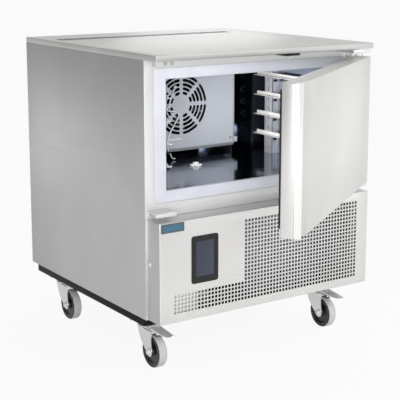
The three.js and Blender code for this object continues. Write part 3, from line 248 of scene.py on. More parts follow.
MOULDED = {
    "black_paint": ((16, 16, 16), 0.6, 300, 0.2),
    "breaker_plastic": ((234, 237, 246), 0.42),
    "foam": ((226, 214, 170), 0.9, 220),
    "seal_rubber": ((24, 24, 25), 0.6),
    "black_plastic": ((22, 22, 23), 0.38),
    "bezel_plastic": ((16, 15, 13), 0.55),
    "badge_edge": ((84, 100, 108), 0.4),
    "wheel_black": ((28, 28, 28), 0.35),
    "tyre_grey": ((208, 207, 206), 0.7, 600),
    # White plastic of the probe lead and other parts; on the fascia's steel screws it is a painted
    # highlight.
    "lead_white": ((248, 248, 249), 0.4),
    "cap_grey": ((202, 201, 199), 0.6),
}
CLOUDED = {
    "screen_glass": ((44, 50, 72), 0.12, 0.0, 0.3),
    "badge_enamel": ((60, 115, 140), 0.35, 0.0, 0.2),
    "copper": ((190, 120, 84), 0.3, 1.0),
}
LINER_STEEL = ((156, 163, 176), 0.12, 1.0)


def clouded(name, *finish):
    """A smooth look with faint changes of tone and gloss."""
    look = Look(name, *finish)
    clouds = look.noise(FLECKS, 2)
    return look.tone(clouds, 0.05).gloss(clouds, 0.02)


def lining(name, *finish):
    """Bright sheet with upright brush lines and slight waves."""
    look = Look(name, *finish)
    look.tone(look.noise(CLOUDS, 2), 0.05).gloss(look.noise(UPRIGHT, 4), 0.05)
    return look.bump(look.noise(SPOTS, 1), 3, 0.35)


def make_looks():
    """Every look's material by its name."""
    looks = {"liner_steel": lining("liner_steel", *LINER_STEEL).material}
    for make, table in ((brushed, BRUSHED), (moulded, MOULDED), (clouded, CLOUDED)):
        looks.update({name: make(name, *finish).material for name, finish in table.items()})
    return looks


LOOKS = make_looks()


# ---------------------------- forms

def place_xy(u, v, w):
    return (u, v, w)


def place_xz(u, v, w):
    return (u, w, v)


def place_yz(u, v, w):
    return (w, u, v)


def about(axis, centre):
    """Where a turned form's height and its two cross directions go."""
    cx, cy, cz = centre
    if axis == "x":
        return lambda h, a, b: (cx + h, cy + a, cz + b)
    if axis == "y":
        return lambda h, a, b: (cx + a, cy + h, cz + b)
    return lambda h, a, b: (cx + a, cy + b, cz + h)


UPWARDS = about("z", (0, 0, 0))


def arc(u, v, radius, start, end, steps):
    """Points of an arc about (u, v), with its angles in degrees."""
    angles = [math.radians(start + (end - start) * i / steps) for i in range(steps + 1)]
    return [(u + radius * math.cos(a), v + radius * math.sin(a)) for a in angles]


def curve(start, control, end, steps):
    """Points of a quadratic curve."""
    points = []
    for i in range(steps + 1):
        t = i / steps
        share = ((1 - t) ** 2, 2 * t * (1 - t), t * t)
        points.append(tuple(sum(s * p[k] for s, p in zip(share, (start, control, end)))
                            for k in range(2)))
    return points


def rounded(u0, u1, v0, v1, radius, steps):
    """A rectangle with round corners."""
    return (arc(u1 - radius, v0 + radius, radius, -90, 0, steps)
            + arc(u1 - radius, v1 - radius, radius, 0, 90, steps)
            + arc(u0 + radius, v1 - radius, radius, 90, 180, steps)
            + arc(u0 + radius, v0 + radius, radius, 180, 270, steps))


def bevelled(form, edges, width, segments):
    bmesh.ops.bevel(form, geom=list(edges), offset=width, segments=segments, profile=0.5,
                    affect="EDGES", clamp_overlap=True)


def block(form, low, high, bevel=0.4, segments=2):
    vertices = bmesh.ops.create_cube(form, size=1)["verts"]
    for vertex in vertices:
        vertex.co = [low[k] if vertex.co[k] < 0 else high[k] for k in range(3)]
    if bevel:
        bevelled(form, {edge for vertex in vertices for edge in vertex.link_edges}, bevel, segments)


def slab(form, outline, place, low, high, bevel=0.4, segments=2):
    """A flat outline raised from low to high, with the edges of both faces bevelled."""
    bottom = [form.verts.new(place(u, v, low)) for u, v in outline]
    top = [form.verts.new(place(u, v, high)) for u, v in outline]
    caps = [form.faces.new(bottom[::-1]), form.faces.new(top)]
    for i in range(len(outline)):
        k = (i + 1) % len(outline)
        form.faces.new((bottom[i], bottom[k], top[k], top[i]))
    if bevel:
        bevelled(form, {edge for cap in caps for edge in cap.edges}, bevel, segments)


def revolve(form, profile, place, sides):
    """A profile of (radius, height) turned round an axis."""
    rings = []
    for radius, height in profile:
        if not radius:
            rings.append([form.verts.new(place(height, 0, 0))] * sides)
            continue
        angles = [2 * math.pi * i / sides for i in range(sides)]
        rings.append([form.verts.new(place(height, radius * math.cos(a), radius * math.sin(a)))
                      for a in angles])
    for lower, upper in zip(rings, rings[1:]):
        for i in range(sides):
            k = (i + 1) % sides
            loop = dict.fromkeys((lower[i], lower[k], upper[k], upper[i]))
            form.faces.new(tuple(loop))
    bmesh.ops.remove_doubles(form, verts=form.verts, dist=WELD)


def rod(form, axis, centre, radius, start, end, bevel=0.4, sides=32):
    profile = [(0, start), (radius - bevel, start), (radius, start + bevel),
               (radius, end - bevel), (radius - bevel, end), (0, end)]
    revolve(form, profile, about(axis, centre), sides)


def grid_sheet(form, us, vs, place, is_hole=None):
    """A thin sheet of cells between two lists of edges, without the cells that are holes."""
    rows = [[form.verts.new(place(u, v)) for u in us] for v in vs]
    for j in range(len(vs) - 1):
        for i in range(len(us) - 1):
            if is_hole is None or not is_hole(i, j):
                form.faces.new((rows[j][i], rows[j][i + 1], rows[j + 1][i + 1], rows[j + 1][i]))


def folded(xs, section, ys, zs, is_hole):
    """A thin sheet bent along a section of (y, z), with both ends closed."""
    form = bmesh.new()
    grid_sheet(form, xs, range(len(section)), lambda u, v: (u, *section[v]), is_hole)
    for x in (xs[0], xs[-1]):
        grid_sheet(form, ys, zs, lambda u, v, x=x: (x, u, v))
    return form


def holed_plate(form, loops, place, low, high):
    """A plate between low and high whose first loop is its outline and the others its holes."""
    triangles = tessellate_polygon([[Vector((u, v, 0)) for u, v in loop] for loop in loops])
    points = [point for loop in loops for point in loop]
    front = [form.verts.new(place(u, v, low)) for u, v in points]
    back = [form.verts.new(place(u, v, high)) for u, v in points]
    for a, b, c in triangles:
        form.faces.new((front[a], front[b], front[c]))
        form.faces.new((back[c], back[b], back[a]))
    start = 0
    for loop in loops:
        for i in range(len(loop)):
            a = start + i
            b = start + (i + 1) % len(loop)
            form.faces.new((front[a], front[b], back[b], back[a]))
        start += len(loop)


# ---------------------------- pieces

SLOT_OF = {part["node"]: part["material_slot"] for part in frame["record"]["subparts"]}


def smoothed(mesh):
    mesh.shade_smooth()
    mesh.set_sharp_from_angle(angle=SMOOTH_ANGLE)


def settled(piece):
    """Applies a piece's modifiers."""
    graph = bpy.context.evaluated_depsgraph_get()
    mesh = bpy.data.meshes.new_from_object(piece.evaluated_get(graph))
    piece.modifiers.clear()
    piece.data = mesh
    smoothed(mesh)


def add_piece(name, mesh, body, slot, look, replaced):
    mesh.materials.clear()
    mesh.materials.append(LOOKS[look or slot])
    piece = add_object(name, mesh)
    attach(piece, body)
    if replaced:
        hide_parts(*replaced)
    return piece


def made(form, name, slot, look=None, body="cabinet", replaced=(), place=None, fold=0, sheet=0):
    """Turns a form into a piece; a thin sheet first gets its fold radius and its thickness."""
    bmesh.ops.remove_doubles(form, verts=form.verts, dist=WELD)
    bmesh.ops.recalc_face_normals(form, faces=form.faces)
    scale = Matrix.Diagonal((MM, MM, MM, 1))
    bmesh.ops.transform(form, matrix=scale if place is None else place @ scale, verts=form.verts)
    mesh = bpy.data.meshes.new(name)
    form.to_mesh(mesh)
    form.free()
    smoothed(mesh)
    piece = add_piece(name, mesh, body, slot, look, replaced)
    if fold:
        bevel = piece.modifiers.new("fold", "BEVEL")
        bevel.width = fold * MM
        bevel.segments = 3
        bevel.limit_method = "ANGLE"
    if sheet:
        solid = piece.modifiers.new("sheet", "SOLIDIFY")
        solid.thickness = sheet * MM
        solid.offset = -1
    if fold or sheet:
        settled(piece)
    return piece


def restyled(form, node, ending, look=None, **shaping):
    """Turns a form into the piece that takes a CAD node's place, on the same body and slot."""
    body = frame["nodes"][node]["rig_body"]
    return made(form, f"{node}_{ending}", SLOT_OF[node], look, body, (node,), **shaping)


def faced(piece, look, is_chosen):
    """Gives chosen faces a look of their own."""
    piece.data.materials.append(LOOKS[look])
    for face in piece.data.polygons:
        if is_chosen(face):
            face.material_index = len(piece.data.materials) - 1


SAME_POINT = 1e-6
FLAT_ANGLE = math.radians(1)


def refined(node, width, look=None, segments=2):
    """A copy of a CAD node with its flat faces joined up and its edges softened."""
    source = frame["nodes"][node]
    form = bmesh.new()
    form.from_mesh(source.data)
    bmesh.ops.remove_doubles(form, verts=form.verts, dist=SAME_POINT)
    bmesh.ops.dissolve_limit(form, angle_limit=FLAT_ANGLE, verts=form.verts, edges=form.edges)
    mesh = bpy.data.meshes.new(f"{node}_surface")
    form.to_mesh(mesh)
    form.free()
    piece = add_piece(f"{node}_surface", mesh, source["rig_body"], SLOT_OF[node], look, (node,))
    bevel = piece.modifiers.new("edges", "BEVEL")
    bevel.width = width * MM
    bevel.segments = segments
    bevel.limit_method = "ANGLE"
    bevel.angle_limit = SMOOTH_ANGLE
    settled(piece)


def screw(form, axis, centre, outward, radius=4.0):
    """A low domed head with a socket, standing on a face."""
    profile = [(0, -1), (radius, -1), (radius, 0.4), (radius * 0.8, 1.6), (radius * 0.5, 2.0),
               (radius * 0.42, 2.0), (radius * 0.38, 0.9), (0, 0.9)]
    revolve(form, [(r, outward * h) for r, h in profile], about(axis, centre), 20)


def dress_nodes():
    """Gives every CAD node that stays the look of its material slot."""
    for node, slot in SLOT_OF.items():
        source = frame["nodes"][node]
        source.data.materials.clear()
        source.data.materials.append(LOOKS[slot])


# ---------------------------- cabinet shell

VENT_LEFT = 34
VENT_RIGHT = 100
VENT_PITCH = 7.6
VENT_SLOT = 4.4
VENT_REACH_M = 0.39
VENT_LENGTH = 60
VENT_FROM_BACK = 170
# Thickness of the black sheet under the slots, which is painted shade.
VENT_SHADE_SHEET = 2
VENT_MARGIN = (6, 4)
WORKTOP_RETURN = 14


def cabinet_worktop():
    """Folded worktop with a row of slots near its back; the slots' black walls and the black sheet
    under them are painted shade.
    """
    low, high = corners("worktop")
    first = low.x + VENT_LEFT
    count = int((high.x - VENT_RIGHT - first - VENT_SLOT) / VENT_PITCH) + 1
    xs = [low.x]
    for i in range(count):
        xs += [first + i * VENT_PITCH, first + i * VENT_PITCH + VENT_SLOT]
    xs.append(high.x)
    middle = high.y - VENT_FROM_BACK
    ys = [low.y, middle - VENT_LENGTH / 2, middle + VENT_LENGTH / 2, high.y]
    section = ([(low.y + WORKTOP_RETURN, low.z), (low.y, low.z)] + [(y, high.z) for y in ys]
               + [(high.y, low.z), (high.y - WORKTOP_RETURN, low.z)])
    vent = section.index((ys[1], high.z))
    form = folded(xs, section, ys, (low.z, high.z), lambda i, j: j == vent and i % 2 == 1)
    sheet = restyled(form, "worktop", "sheet", "worktop_steel", fold=1.6, sheet=SHEET)
    # The upright faces get the darker steel: painted shade on the worktop's edges.
    faced(sheet, "edge_steel", lambda face: abs(face.normal.z) < 0.5)
    # The upright walls of the slots are painted black: painted shade for the dark inside of the slots.
    faced(sheet, "black_paint",
          lambda face: abs(face.normal.x) > 0.5 and abs(face.center.x) < VENT_REACH_M)
    # A black sheet under the slots: painted shade seen through them.
    screen = bmesh.new()
    mx, my = VENT_MARGIN
    under = high.z - SHEET
    block(screen, (xs[1] - mx, ys[1] - my, under - VENT_SHADE_SHEET),
          (xs[-2] + mx, ys[2] + my, under - FIT), 0.2)
    made(screen, "worktop_vent_shade_sheet", "black_plastic")


def cabinet_shell():
    cabinet_worktop()
    # The surround takes the paler steel, which is painted light.
    refined("front_surround", 0.5, "surround_steel")
    refined("back_panel", 0.5)
    # The side panels take the darker steel, which is painted shade.
    for node in ("side_panel_left", "side_panel_right"):
        refined(node, 0.5, "side_steel")
    refined("base_frame", 0.8)
    refined("breaker_frame", 2.0, segments=3)
    side_returns()
    panel_screws()
    header_plugs()


SIDE_RETURN = 24


def side_returns():
    """Inward returns of the side panels, beside and behind the fascia."""
    face = corners("front_surround")[0].y
    fascia_low, fascia_high = corners("fascia_panel")
    form = bmesh.new()
    for node, turn in (("side_panel_left", 1), ("side_panel_right", -1)):
        low, high = corners(node)
        skin = low.x if turn > 0 else high.x
        x0, x1 = sorted((skin + turn * FIT, skin + turn * SIDE_RETURN))
        block(form, (x0, face, fascia_low.z + FIT), (x1, face + SHEET, fascia_high.z - FIT), 0.3)
    made(form, "side_panel_returns", "stainless")


BACK_INSET = 16
BACK_ROWS = 5


def panel_screws():
    """Screws along the back panel's four edges."""
    low, high = corners("back_panel")
    bottom, top = low.z + BACK_INSET, high.z - BACK_INSET
    form = bmesh.new()
    for i in range(BACK_ROWS):
        z = bottom + (top - bottom) * i / (BACK_ROWS - 1)
        for x in (low.x + BACK_INSET, high.x - BACK_INSET):
            screw(form, "y", (x, high.y, z), 1)
    for x in (low.x / 3, high.x / 3):
        for z in (bottom, top):
            screw(form, "y", (x, high.y, z), 1)
    made(form, "back_panel_screws", "bright_steel")


CAP_PLACES = ((-369, 919.5), (-330, 920), (-307, 920))
CAP_PROFILE = ((0, 1), (6.5, 1), (6.5, -0.8), (5, -1.4), (4.2, -0.3), (0, -0.3))


def header_plugs():
    """Caps in the spare hinge holes of the surround's header."""
    face = corners("front_surround")[0].y
    form = bmesh.new()
    for x, z in CAP_PLACES:
        revolve(form, CAP_PROFILE, about("y", (x, face, z)), 24)
    made(form, "header_plugs", "black_plastic", "cap_grey")


# ---------------------------- fascia and controls

HOLE_SIZE = 8.2
HOLE_PITCH_X = 12
HOLE_PITCH_Z = 11.9
HOLE_COLUMNS = 37
HOLE_ROWS = 21
STRIP_COLUMNS = 21
STRIP_ROWS = 5
GRILLE_LEFT = -94.1
GRILLE_RISE = 27
FASCIA_FOLD = 2.4


def fascia():
    """Folded sheet with the grille's square holes, wide above and as a strip along the bottom."""
    low, high = corners("fascia_panel")
    first = GRILLE_LEFT - STRIP_COLUMNS * HOLE_PITCH_X
    xs = [low.x]
    for i in range(STRIP_COLUMNS + HOLE_COLUMNS):
        xs += [first + i * HOLE_PITCH_X, first + i * HOLE_PITCH_X + HOLE_SIZE]
    xs.append(high.x)
    zs = [low.z]
    for j in range(HOLE_ROWS):
        z = low.z + GRILLE_RISE + j * HOLE_PITCH_Z
        zs += [z, z + HOLE_SIZE]
    zs.append(high.z)
    section = [(high.y, low.z)] + [(low.y, z) for z in zs] + [(high.y, high.z)]

    def is_hole(i, j):
        column, row = (i - 1) // 2, (j - 2) // 2
        if i % 2 == 0 or j % 2 == 1 or j < 2 or row >= HOLE_ROWS:
            return False
        return row < STRIP_ROWS or column >= STRIP_COLUMNS

    form = folded(xs, section, (low.y, high.y), zs, is_hole)
    sheet = made(form, "fascia_sheet", "stainless", replaced=("fascia_panel",), fold=FASCIA_FOLD,
                 sheet=SHEET)
    # The fascia's sides take the darker steel, which is painted shade.
    faced(sheet, "side_steel", lambda face: abs(face.normal.x) > 0.8)
    fascia_backing(low, first)
    fascia_screws(low, high)


BACKED_COLUMNS = 7
BACKING_GAP = 2.5
BACKING_DROP = 8
BACKING_SPARE = 10
BACKING_SHORT = 2


def fascia_backing(low, first):
    """Plate welded close behind the first columns of the lower strip."""
    form = bmesh.new()
    y = low.y + SHEET + BACKING_GAP
    z = low.z + GRILLE_RISE - BACKING_DROP
    right = first + BACKED_COLUMNS * HOLE_PITCH_X - BACKING_SHORT
    top = z + STRIP_ROWS * HOLE_PITCH_Z + BACKING_SPARE
    block(form, (first - HOLE_PITCH_X, y, z), (right, y + SHEET, top), 0.3)
    made(form, "fascia_backing", "stainless")


FASCIA_TOP_SCREWS = ((-354, -365), (-292, -362))
FASCIA_SIDE_SCREW = (-358, 347)
TOP_SCREW_RADIUS = 3.5
SIDE_SCREW_RADIUS = 6


def fascia_screws(low, high):
    form = bmesh.new()
    for x, y in FASCIA_TOP_SCREWS:
        screw(form, "z", (x, y, high.z), 1, TOP_SCREW_RADIUS)
    for x, outward in ((low.x, -1), (high.x, 1)):
        screw(form, "x", (x, *FASCIA_SIDE_SCREW), outward, SIDE_SCREW_RADIUS)
    # The steel screws take the white look: a painted highlight.
    made(form, "fascia_screws", "bright_steel", "lead_white")


def inset(low, high, distance, radius, steps):
    """Round-cornered outline of a node's face, some distance inside its edges."""
    return rounded(low.x + distance, high.x - distance, low.z + distance, high.z - distance, radius,
                   steps)


BEZEL_CORNER = 8
BEZEL_STEP = 0.6
BEZEL_CHAMFER = 0.9
BEZEL_BODY = 9


def control_panel():
    """Bezel with a stepped rim and a window, and the glass that fills the window."""
    low, high = corners("control_bezel")
    face = corners("fascia_panel")[0].y
    screen_low, screen_high = corners("control_screen")
    form = bmesh.new()
    window = inset(screen_low, screen_high, -FIT, 1.5, 4)
    rim = inset(low, high, 0, BEZEL_CORNER, 8)
    holed_plate(form, [rim, window], place_xz, low.y + BEZEL_STEP, face - FIT / 3)
    top = inset(low, high, BEZEL_CHAMFER, 7.2, 8)
    holed_plate(form, [top, window], place_xz, low.y, low.y + BEZEL_STEP)
    block(form, (low.x + BEZEL_BODY, face, low.z + BEZEL_BODY),
          (high.x - BEZEL_BODY, high.y, high.z - BEZEL_BODY), 0.8)
    restyled(form, "control_bezel", "moulding", "bezel_plastic")
    glass = bmesh.new()
    slab(glass, inset(screen_low, screen_high, 0, 1.2, 4), place_xz, screen_low.y, screen_high.y, 0.3)
    restyled(glass, "control_screen", "glass")


BADGE_RIM = 6
BADGE_RISE = 0.2
BADGE_FIELD = 0.5


def badge():
    """Bare plate: a grey rim, and a field that stands a little proud of it."""
    low, high = corners("badge_plate")
    form = bmesh.new()
    slab(form, inset(low, high, 0, 1.5, 4), place_xz, low.y + BADGE_RISE, high.y, 0.3)
    restyled(form, "badge_plate", "edge", "badge_edge")
    field = bmesh.new()
    slab(field, inset(low, high, BADGE_RIM, 1, 4), place_xz, low.y, low.y + BADGE_FIELD, 0.15)
    made(field, "badge_plate_field", "badge_enamel")


# ---------------------------- hinge brackets and sensor

BRACKET_SHEET = 2
BRACKET_LIP = 10
BRACKET_HOLE = (34, 16, 3.2)
SCREW_INSET = 14
SCREW_RADIUS = 4
PIN_RADIUS = 5
PIN_HOLE = 5.3
UPPER_SHELF_GAP = 11


def bracket_shelf(form, low, high, z, lip_to, holes):
    """Shelf of a hinge bracket with its holes and a lip along its front."""
    outline = [(low.x, high.y), (low.x, low.y), (high.x, low.y), (high.x, high.y)]
    loops = [outline] + [arc(x, y, r, 0, 345, 23) for x, y, r in holes]
    holed_plate(form, loops, place_xy, z, z + BRACKET_SHEET)
    z0, z1 = sorted((lip_to, z + BRACKET_SHEET / 2))
    block(form, (low.x, low.y, z0), (high.x, low.y + BRACKET_SHEET, z1), 0.6)


def hinge_bracket(node, shelf, is_lower, has_pin):
    """Folded bracket: foot on the surround, shelf out to the hinge line, pin and screws."""
    low, high = corners(node)
    pin = joint_place("door_hinge")
    side = -1 if low.x + high.x < 0 else 1
    x = side * pin.x
    inward, behind, radius = BRACKET_HOLE
    holes = [] if has_pin else [(x, pin.y, PIN_HOLE)]
    holes.append((x - side * inward, pin.y + behind, radius))
    lip = -BRACKET_LIP if is_lower else BRACKET_LIP + BRACKET_SHEET
    top = shelf + BRACKET_SHEET / 2
    form = bmesh.new()
    bracket_shelf(form, low, high, shelf, shelf + lip, holes)
    block(form, (low.x, high.y - BRACKET_SHEET, low.z), (high.x, high.y, top), 0.5)
    if has_pin:
        ends = (shelf, high.z) if is_lower else (low.z, shelf + BRACKET_SHEET)
        rod(form, "z", (x, pin.y, 0), PIN_RADIUS, *ends, 0.6)
    restyled(form, node, "folded", "bracket_steel")
    heads = bmesh.new()
    head = min(SCREW_RADIUS, (top - low.z) / 3)
    for at in (low.x + SCREW_INSET, (low.x + high.x) / 2, high.x - SCREW_INSET):
        screw(heads, "y", (at, high.y - BRACKET_SHEET, (low.z + top) / 2), -1, head)
    made(heads, f"{node}_screws", "bright_steel", "zinc")


def hinge_brackets():
    lower = corners("lower_hinge_bracket_left")[1].z - BRACKET_SHEET
    hinge_bracket("lower_hinge_bracket_left", lower, True, False)
    hinge_bracket("lower_hinge_bracket_right", lower, True, True)
    hinge_bracket("upper_hinge_bracket", door_top() + UPPER_SHELF_GAP, False, True)


def door_top():
    return corners("door_skin")[1].z


SENSOR_BODY = 8
SENSOR_TIP = 3
SENSOR_WEDGE = 34
LUG_FROM = 46
LUG_TOP = (5, 18)
LUG_FOOT = 7


def door_sensor():
    """Wedge-shaped sensor with a slanting lug below it."""
    low, high = corners("door_sensor")
    body_low = high.z - SENSOR_BODY
    form = bmesh.new()
    slab(form, [(low.x, high.z - SENSOR_TIP), (low.x + SENSOR_WEDGE, body_low), (high.x, body_low),
                (high.x, high.z), (low.x, high.z)], place_xz, low.y, high.y, 1)
    restyled(form, "door_sensor", "body")
    lug = bmesh.new()
    at = low.x + LUG_FROM
    top = body_low + 1
    slab(lug, [(at + LUG_TOP[0], top), (at, low.z), (at + LUG_FOOT, low.z), (at + LUG_TOP[1], top)],
         place_xz, low.y + 2 * FIT, high.y - 2 * FIT, 0.5)
    made(lug, "door_sensor_lug", "breaker_plastic", "lead_white")


# ---------------------------- chamber

GUARD_RINGS = 5
GUARD_FIRST_RING = 39.5
GUARD_RING_PITCH = 14
GUARD_SLOT = 10
GUARD_SPOKES = 8
GUARD_SPOKE_WIDTH = 11
COVER_SCREWS = ((84, 850), (78, 702), (-196, 850), (200, 850), (-196, 602), (200, 602))
COVER_EDGE = 7.5
COVER_STEP = 3
COVER_SKIRT = 12
COVER_TAB = (13, 18)


def guard_slot(centre, radius, middle):
    """Curved slot with round ends between two spokes."""
    half = GUARD_SLOT / 2
    swing = 180 / GUARD_SPOKES - math.degrees((GUARD_SPOKE_WIDTH / 2 + half) / radius)
    start, end = middle - swing, middle + swing
    steps = 6 + int(radius / 12)
    u, v = centre

    def cap(angle, first):
        a = math.radians(angle)
        return arc(u + radius * math.cos(a), v + radius * math.sin(a), half, first, first + 180, 6)

    outer = arc(u, v, radius + half, start, end, steps)
    inner = arc(u, v, radius - half, end, start, steps)
    return outer[1:-1] + cap(end, end) + inner[1:-1] + cap(start, start + 180)


def evaporator_cover():
    """Slotted face with stepped-back side edges, a skirt that leans back and a fixing tab."""
    low, high = corners("evaporator_cover")
    fan_place = joint_place("evaporator_fan_spin")
    left, right = low.x + COVER_EDGE, high.x - COVER_EDGE
    bottom = low.z + COVER_SKIRT
    loops = [[(left, bottom), (right, bottom), (right, high.z), (left, high.z)]]
    for ring in range(GUARD_RINGS):
        for sector in range(GUARD_SPOKES):
            loops.append(guard_slot((fan_place.x, fan_place.z),
                                    GUARD_FIRST_RING + ring * GUARD_RING_PITCH,
                                    (sector + 0.5) * 360 / GUARD_SPOKES))
    form = bmesh.new()
    holed_plate(form, loops, place_xz, low.y, low.y + SHEET)
    restyled(form, "evaporator_cover", "face", "cover_steel")
    y0, y1, z0 = low.y, high.y, low.z
    sides = bmesh.new()
    step = y0 + COVER_STEP
    for inner, outer, turn in ((right, high.x, 1), (left, low.x, -1)):
        skin = outer - turn * SHEET
        slab(sides, [(inner, y0), (outer, step), (outer, y1), (skin, y1), (skin, step + SHEET),
                     (inner, y0 + SHEET)], place_xy, bottom, high.z, 0.2)
        x0, x1 = sorted((outer, outer + turn * COVER_TAB[0]))
        block(sides, (x0, step, bottom), (x1, step + SHEET, bottom + COVER_TAB[1]), 0.3)
    skirt = y0 + COVER_SKIRT
    slab(sides, [(y0, bottom), (skirt, z0), (y1, z0), (y1, z0 + SHEET), (skirt + FIT, z0 + SHEET),
                 (y0 + SHEET, bottom + FIT)], place_yz, low.x, high.x, 0.2)
    block(sides, (left, y0 + SHEET, high.z - SHEET), (right, y1, high.z), 0.2)
    made(sides, "evaporator_cover_folds", "stainless", "cover_steel")
    heads = bmesh.new()
    for x, z in COVER_SCREWS:
        screw(heads, "y", (x, low.y, z), -1)
    made(heads, "evaporator_cover_screws", "bright_steel")


BLADE_STEPS = 6
FAN_BORE = 4.3


def fan(node, blades, hub, pitch):
    """Axial fan with swept blades whose pitch eases off towards the tips."""
    centre = joint_place(f"{node}_spin")
    low, high = corners(node)
    radius = (high.x - low.x) / 2
    form = bmesh.new()
    chord = math.radians(300 / blades)
    steps = range(BLADE_STEPS + 1)
    root = hub - 3
    radii = [root + (radius - hub + 3) * i / BLADE_STEPS for i in steps]
    for number in range(blades):
        start = 2 * math.pi * number / blades

        def place(u, v, start=start):
            share = (u - hub) / (radius - hub)
            angle = start + chord * (v - 0.5) * (0.75 + 0.25 * share) + 0.25 * share
            lift = (v - 0.5) * pitch * (1.25 - 0.5 * share)
            return (centre.x + u * math.cos(angle), centre.y + lift, centre.z + u * math.sin(angle))

        grid_sheet(form, radii, [i / BLADE_STEPS for i in steps], place)
    restyled(form, node, "blades", sheet=1.6)
    boss = bmesh.new()
    half = pitch / 2
    revolve(boss, [(FAN_BORE, -half), (hub - 4, -half), (hub, 4 - half), (hub, half),
                   (FAN_BORE, half), (FAN_BORE, -half)], about("y", centre), 40)
    made(boss, f"{node}_hub", SLOT_OF[node], body=node)


POST_WIDTH = 43
POST_DEPTH = 26.9
POST_FROM_FRONT = 30
POST_FROM_BACK = 42
POST_SHEET = 1.5
POST_SLOT_PITCH = 33.5
SIDE_SLOT = (4, 22, 10, 18)
RAIL_LEVELS = 4
RAIL_FIRST = 63.7
RAIL_PITCH = 67
RAIL_FLANGE = 12
RAIL_LIP = 15


def tray_rack(side, name):
    """Two slotted posts and the lipped rails that hook into them."""
    node = f"tray_rack_{name}"
    low, high = corners(node)
    wall = high.x if side > 0 else -low.x
    rail = wall - POST_DEPTH
    levels = [low.z + RAIL_FIRST + i * RAIL_PITCH for i in range(RAIL_LEVELS)]
    form = bmesh.new()
    back = high.y - POST_FROM_BACK
    front = low.y + POST_FROM_FRONT
    for y0, y1 in ((front, front + POST_WIDTH), (back - POST_WIDTH, back)):
        post_face(form, side, rail, (y0, y1), (low.z, high.z))
        for y in (y0, y1 - POST_SHEET):
            post_side(form, side, (rail + POST_SHEET / 2, wall), (low.z, high.z), y, levels)
    restyled(form, node, "posts", "rack_steel")
    rails = bmesh.new()
    for z in levels:
        section = [(rail + POST_SHEET, z), (rail + POST_SHEET, z + RAIL_FLANGE),
                   (rail, z + RAIL_FLANGE), (rail, z + POST_SHEET),
                   (rail - RAIL_LIP, z + POST_SHEET), (rail - RAIL_LIP, z)]
        slab(rails, [(side * x, v) for x, v in section][::side], place_xz, low.y, high.y, 0.3)
    made(rails, f"{node}_rails", "bright_steel", "rail_steel")


def post_face(form, side, rail, ys, zs):
    """Inner face of a post, with its column of slots."""
    (y0, y1), (z0, z1) = ys, zs
    loops = [[(y0, z0), (y1, z0), (y1, z1), (y0, z1)]]
    middle = (y0 + y1) / 2
    for i in range(int((z1 - z0 - 20) / POST_SLOT_PITCH)):
        z = z0 + 14 + i * POST_SLOT_PITCH
        loops.append(rounded(middle - 2, middle + 2, z, z + 12, 1.5, 3))
    x0, x1 = sorted((side * (rail + POST_SHEET / 2), side * (rail + 1.5 * POST_SHEET)))
    holed_plate(form, loops, place_yz, x0, x1)


def post_side(form, side, xs, zs, y, levels):
    """Side of a post, with a hook slot under each rail."""
    outline = [(xs[0], zs[0]), (xs[1], zs[0]), (xs[1], zs[1]), (xs[0], zs[1])]
    in0, in1, down0, down1 = SIDE_SLOT
    loops = [outline] + [rounded(xs[0] + in0, xs[0] + in1, z - down1, z - down0, 2, 3) for z in levels]
    turned = [[(side * x, z) for x, z in loop] for loop in loops]
    holed_plate(form, turned, place_xz, y, y + POST_SHEET)


LEAD_ROUTE = ((-54, 6), (-57, 24), (-56, 46), (-48, 67), (-28, 97), (-13, 128), (-22, 137),
              (-42, 140), (-58, 146), (-54, 155), (-40, 188), (-27, 219))
HOOK_ROUTE = ((-54, 0), (-47, -3), (-42, -14), (-36, -20), (-28, -20))
LEAD_RADIUS = 2.6
HOOK_RADIUS = 2
LEAD_STAND_OFF = 4
GRIP_X = -54


def cord_piece(name, route, y, base, radius, look, replaced=()):
    """A round cord along a route of (x, height above the base)."""
    data = bpy.data.curves.new(name, "CURVE")
    data.dimensions = "3D"
    data.bevel_depth = radius * MM
    data.bevel_resolution = 4
    data.use_fill_caps = True
    spline = data.splines.new("BEZIER")
    spline.bezier_points.add(len(route) - 1)
    for point, (x, rise) in zip(spline.bezier_points, route):
        point.co = Vector((x, y, base + rise)) * MM
        point.handle_left_type = "AUTO"
        point.handle_right_type = "AUTO"
    cord = add_object(name, data)
    data.materials.append(LOOKS[look])
    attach(cord, "cabinet")
    if replaced:
        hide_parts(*replaced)


def core_probe():
    """Pale lead clipped up the cover, with a small black grip and a hooked needle."""
    low = corners("evaporator_cover")[0]
    face = low.y - FIT
    y = face - LEAD_STAND_OFF
    cord_piece("core_probe_lead", LEAD_ROUTE, y, low.z, LEAD_RADIUS, "lead_white", ("core_probe",))
    cord_piece("core_probe_hook", HOOK_ROUTE, y, low.z, HOOK_RADIUS, "lead_white")
    form = bmesh.new()
    grip = [(0, -5), (3.6, -4.6), (5, -2.5), (5, 4), (3.8, 6.6), (0, 7)]
    revolve(form, grip, about("z", (GRIP_X, y - FIT, low.z)), 32)
    made(form, "core_probe_grip", "black_plastic")
    end_x, end_rise = LEAD_ROUTE[-1]
    clip = bmesh.new()
    rod(clip, "z", (end_x, y - 1, low.z), 5, end_rise - 4, end_rise + 4, 1)
    block(clip, (-58, y - LEAD_RADIUS, low.z + 40), (0, face, low.z + 47), 1)
    made(clip, "core_probe_clips", "black_plastic", "lead_white")


PLUG_TURN = math.radians(-28)
PLUG_ARM = 19
PLUG_STEM = 15


